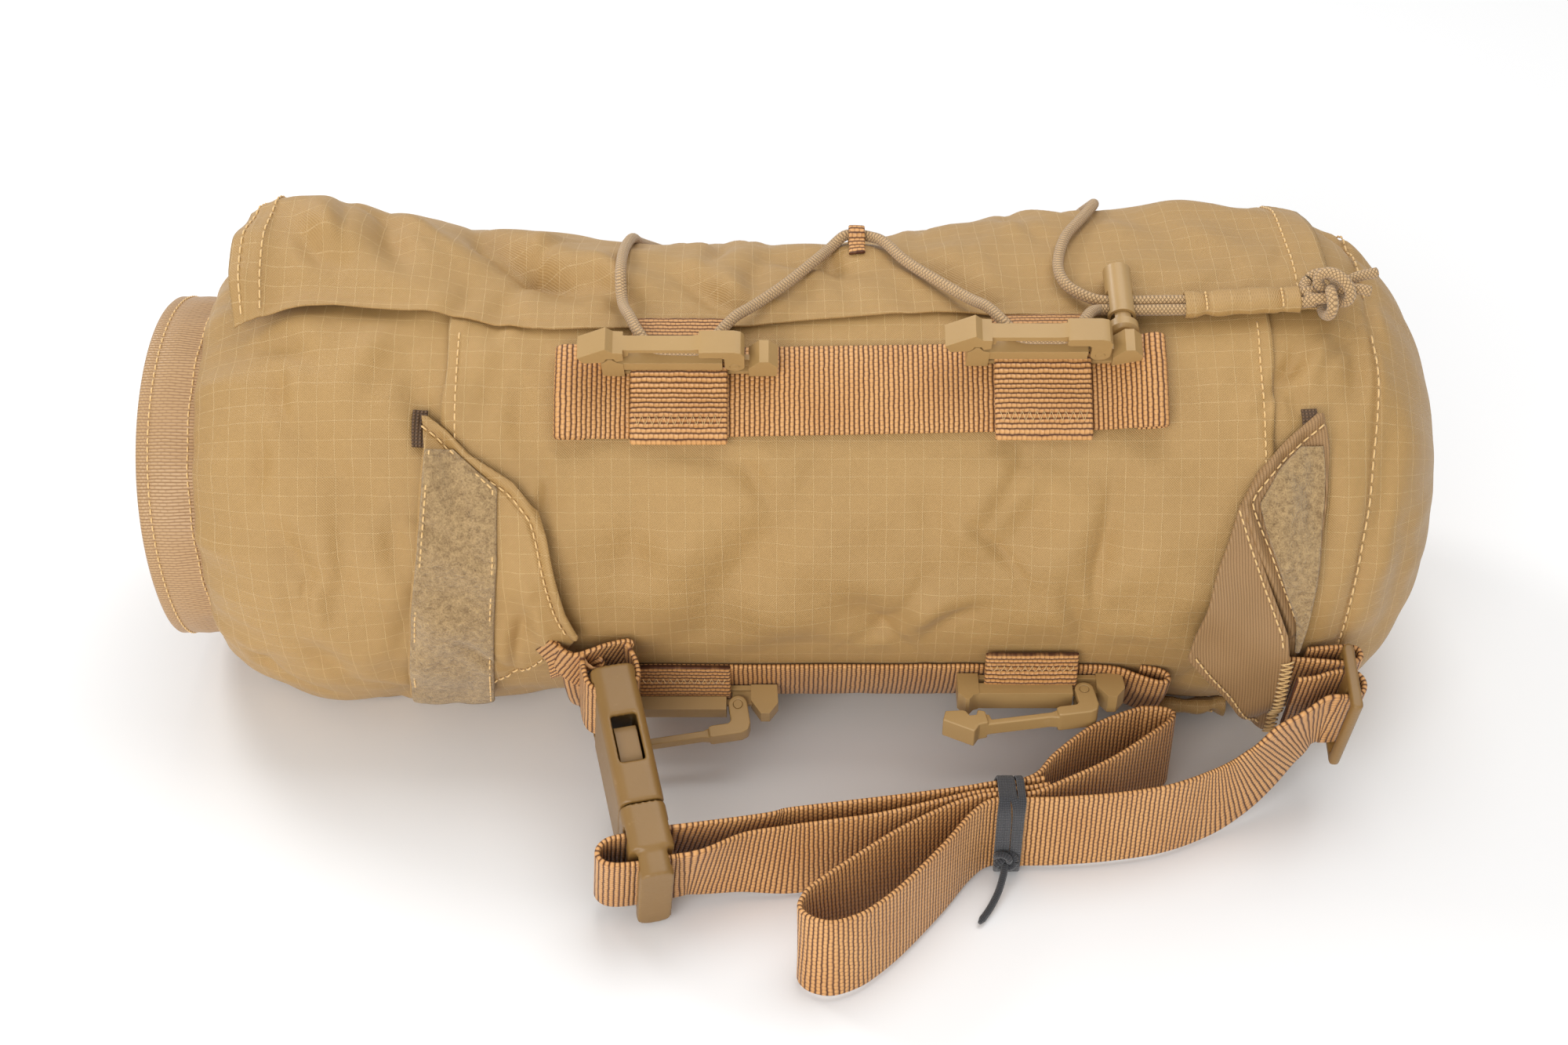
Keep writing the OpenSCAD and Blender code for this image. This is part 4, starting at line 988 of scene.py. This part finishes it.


# ---- Straps: one-inch webbing on edge, buckle to slider, folded into a bundle under its tie ----
# The run is sewn at the slider; the lead turns round the male half's bar.
def ribbon_band(name, path, up, count, width=WEB_W, thick=WEB_T, finish=web, slot="webbing", squeeze=None,
        **given):
    """A band along a path of points in millimetres; up is the way its width runs at each point, and
    squeeze, from 0 to 1 along it, how much of the width shows where it is folded lengthwise."""
    path, up = np.asarray(path, float), np.asarray(up, float)
    both = smooth(np.concatenate([path, np.broadcast_to(up, path.shape) * 12], 1), count)
    q, u = both[:, :3], both[:, 3:]
    t = unit(np.gradient(q, axis=0))
    u = unit(u - t * (t * u).sum(-1, keepdims=True))
    n = np.cross(t, u)
    sec = flat_section(width, thick)
    part = np.ones(count) if squeeze is None else np.interp(np.linspace(0, 1, count),
        np.linspace(0, 1, len(squeeze)), squeeze)
    pts = q[:, None] + u[:, None] * sec[:, :1] * part[:, None, None] + n[:, None] * sec[:, 1:]
    uv = np.stack(np.broadcast_arrays(lengths(q)[:, None], sec[None, :, 0]), -1)
    return piece(name, pts, uv, finish, slot, wrap_cols=True, caps=True, **given)


box = np.array([list(v.co) for v in frame["nodes"]["strap_slider"].data.vertices]) / MM
slider_at = (box.min(0) + box.max(0)) / 2
SLIDER_A = np.radians(-18)
away = np.array([0, -np.cos(SLIDER_A), np.sin(SLIDER_A)])
slider_up = np.array([0, np.sin(SLIDER_A), np.cos(SLIDER_A)])
by_slider = lambda dx, lift: slider_at + [dx, 0, 0] + away * (lift - 13.5)
MID = 13.9
flat_run = lambda points: [(x, y, MID) for x, y in points]
turn_path = [by_slider(*p) for p in ((-14, 12.6), (-9, 11.9), (-5, 10.6), (-1.5, 9.9), (1.6, 10.3), (3.3, 12),
    (3.7, 14.2), (2.8, 16.4), (0.6, 17.3), (-2.5, 17.7), (-6, 18))]
run_out = [(118, -82.5, 29.5), (113, -84.5, 26), (107, -87.5, 20.5), (100, -91, 16), (92, -95, MID),
    (80, -100.5, MID), (66, -103.5, MID), (52, -105, MID), (42.5, -105.3, MID), (33, -105.5, MID)]
near_loop = flat_run([(27, -110.5), (19, -122), (8, -136), (0, -144), (-5, -147.3), (-10.5, -149),
    (-15.5, -147.5), (-18, -144), (-17, -140), (-14, -136), (-4, -127), (8, -117), (20, -109), (28, -105),
    (33, -103.7), (42.5, -103.2)])
right_loop = flat_run([(52, -98.5), (66, -90), (78, -80), (82, -76.4), (84, -74), (84.3, -72), (82, -70.5),
    (78, -70.2), (74, -71), (62, -77.5), (51, -88), (45, -96), (38, -99.3)])
run = turn_path + run_out + near_loop + right_loop
lean = ([slider_up] * (len(turn_path) + 1) + [slider_up * 0.6 + [0, 0, 0.4], (0, -0.12, 1), (0, -0.05, 1)]
    + [(0, 0, 1)] * (len(run) - len(turn_path) - 4))
lean = [np.asarray(v, float) for v in lean]
near_from = len(turn_path) + len(run_out)
for k in range(16):
    lean[near_from + k] = np.array([0, 0.10 * np.sin(np.pi * (k + 0.5) / 16), 1])
ribbon_band("strap_run", run, lean, 900, stands_for=("waist_strap",))

BUCKLE = np.array([[-.2270, .9180, .3256], [-.9707, -.2402, 0], [.0780, -.3160, .9455]])
in_buckle = lambda u, y, z=0.0: np.array([-56, -125.6, 0.1]) + np.array([u, y, 15.5 + z]) @ BUCKLE
back_lead = flat_run([(47, -97.4), (42.5, -98.2), (33, -99.4), (26, -101), (12, -103.6), (-6, -106.6),
    (-22, -109.3)])
front_lead = flat_run([(-20, -115.2), (-8, -113), (4, -110.5), (18, -106), (26, -103.4), (33, -101.9),
    (42, -101.0), (48, -99.6)])
around = [(13.8, -9), (14, -3), (14, 1.5), (13.9, 5.5), (13.6, 10), (12.2, 12.6), (10, 13.6), (7.8, 12.6),
    (6.4, 10), (5.8, 5.5), (5.8, 0), (5.8, -6), (5.9, -12)]
lead = (back_lead + [(-31, -111.5, 15.6)] + [tuple(in_buckle(*p)) for p in around] + [(-33, -117.6, 15.4)]
    + front_lead)
lead_up = ([(0, 0, 1)] * len(back_lead) + [(0.03, -0.14, 1)] + [tuple(BUCKLE[2])] * len(around)
    + [(0.03, -0.14, 1)] + [(0, 0, 1)] * len(front_lead))
strap_lead = ribbon_band("strap_lead", lead, lead_up, 520, body=None, stands_for=("strap_buckle_loop",))
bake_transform(strap_lead)

# webbing sewn to the wings' points and turned round the buckle's rear bar and the slider's far bar
tab_round = [(70, 6.9), (66, 7.2), (61, 7.2), (58.2, 6.2), (56.6, 3.4), (56.2, 0), (56.6, -3.4), (58.2, -6),
    (61, -6.8), (66, -6.3), (70, -3.6)]
tab_path = ([(-87, -68.2, 47.5), (-82.5, -69.5, 43.5)] + [tuple(in_buckle(*p)) for p in tab_round]
    + [(-80.0, -70.6, 42.6), (-85.5, -67.4, 46.5)])
tab_up = ([(0.3, -0.3, 0.9), (0.2, -0.3, 0.9)] + [tuple(BUCKLE[2])] * len(tab_round)
    + [(0.2, -0.3, 0.9), (0.3, -0.3, 0.9)])
ribbon_band("buckle_tab_webbing", tab_path, tab_up, 200, squeeze=[0.3, 0.42, 0.8, 1, 1, 1, 1, 1, 1, 0.8, 0.42,
    0.3], stands_for=("buckle_tab",))
slide_path = [by_slider(*p) for p in ((-24, 6), (-14, 6.2), (-7, 6.8), (-2, 7.2), (1.5, 7.1), (3.6, 6),
    (4, 4.6), (3.4, 3.1), (1, 2.4), (-4, 2.6), (-10, 3.2))]
ribbon_band("slider_tab_webbing", slide_path, [slider_up] * len(slide_path), 170, stands_for=("slider_tab",))


# ---- Tie: flat black elastic wound round the bundle, knotted in front ----
# TIE_Y and TIE_Z bound the bundle that its turns go round.
elastic_finish = Finish("black_elastic", 0.7, sheen=0.3)
eu, ev = elastic_finish.uv()[:2]
knit = ((eu * HALF_TURN / 0.55).sin().abs() * 0.6 + (ev * HALF_TURN / 0.6).sin().abs() * 0.4)
elastic = elastic_finish.paint(elastic_finish.blend(knit, (0.010, 0.010, 0.012), (0.045, 0.045, 0.05)),
    height=knit, depth=0.25)
TIE_Y, TIE_Z = (-107.6, -97.2), (0.5, 27.4)
turns = 4
wind = np.linspace(0, turns * 2 * np.pi, turns * 56)
round_y = np.sign(np.cos(wind)) * np.abs(np.cos(wind)) ** 0.28
round_z = np.sign(np.sin(wind)) * np.abs(np.sin(wind)) ** 0.28
ty = np.mean(TIE_Y) + (TIE_Y[1] - TIE_Y[0] + 0.9) / 2 * round_y
tz = np.mean(TIE_Z) + (TIE_Z[1] - TIE_Z[0] - 0.1) / 2 * round_z
tx = 34.3 + 6.6 * wind / wind[-1] + 0.5 * np.sin(wind * 1.3)
wound = np.stack([tx, ty, tz], -1)
ribbon_band("strap_tie_turns", wound, np.broadcast_to([1.0, 0, 0], wound.shape), turns * 90, 2.1, 0.8,
    elastic, "elastic", stands_for=("strap_tie",))
wind = np.linspace(0, 2 * np.pi, 90, endpoint=False)
around_knot = np.stack([(1.9 + 0.9 * np.cos(3 * wind)) * np.cos(2 * wind), 0.8 * np.sin(3 * wind),
    (1.9 + 0.9 * np.cos(3 * wind)) * np.sin(2 * wind)], -1)
tube("tie_knot", np.array([36.5, -109.8, 7.5]) + around_knot, 0.95, elastic, "elastic", loop=True, sides=10)
tube("tie_tail", smooth([(36.5, -110.5, 7), (36, -113, 5.6), (34.5, -117, 3.4), (32, -121.5, 1.8),
    (29, -126, 1.25)], 40), np.interp(np.arange(40), [0, 36, 39], [1.0, 0.95, 0.5]), elastic, "elastic",
    sides=10)
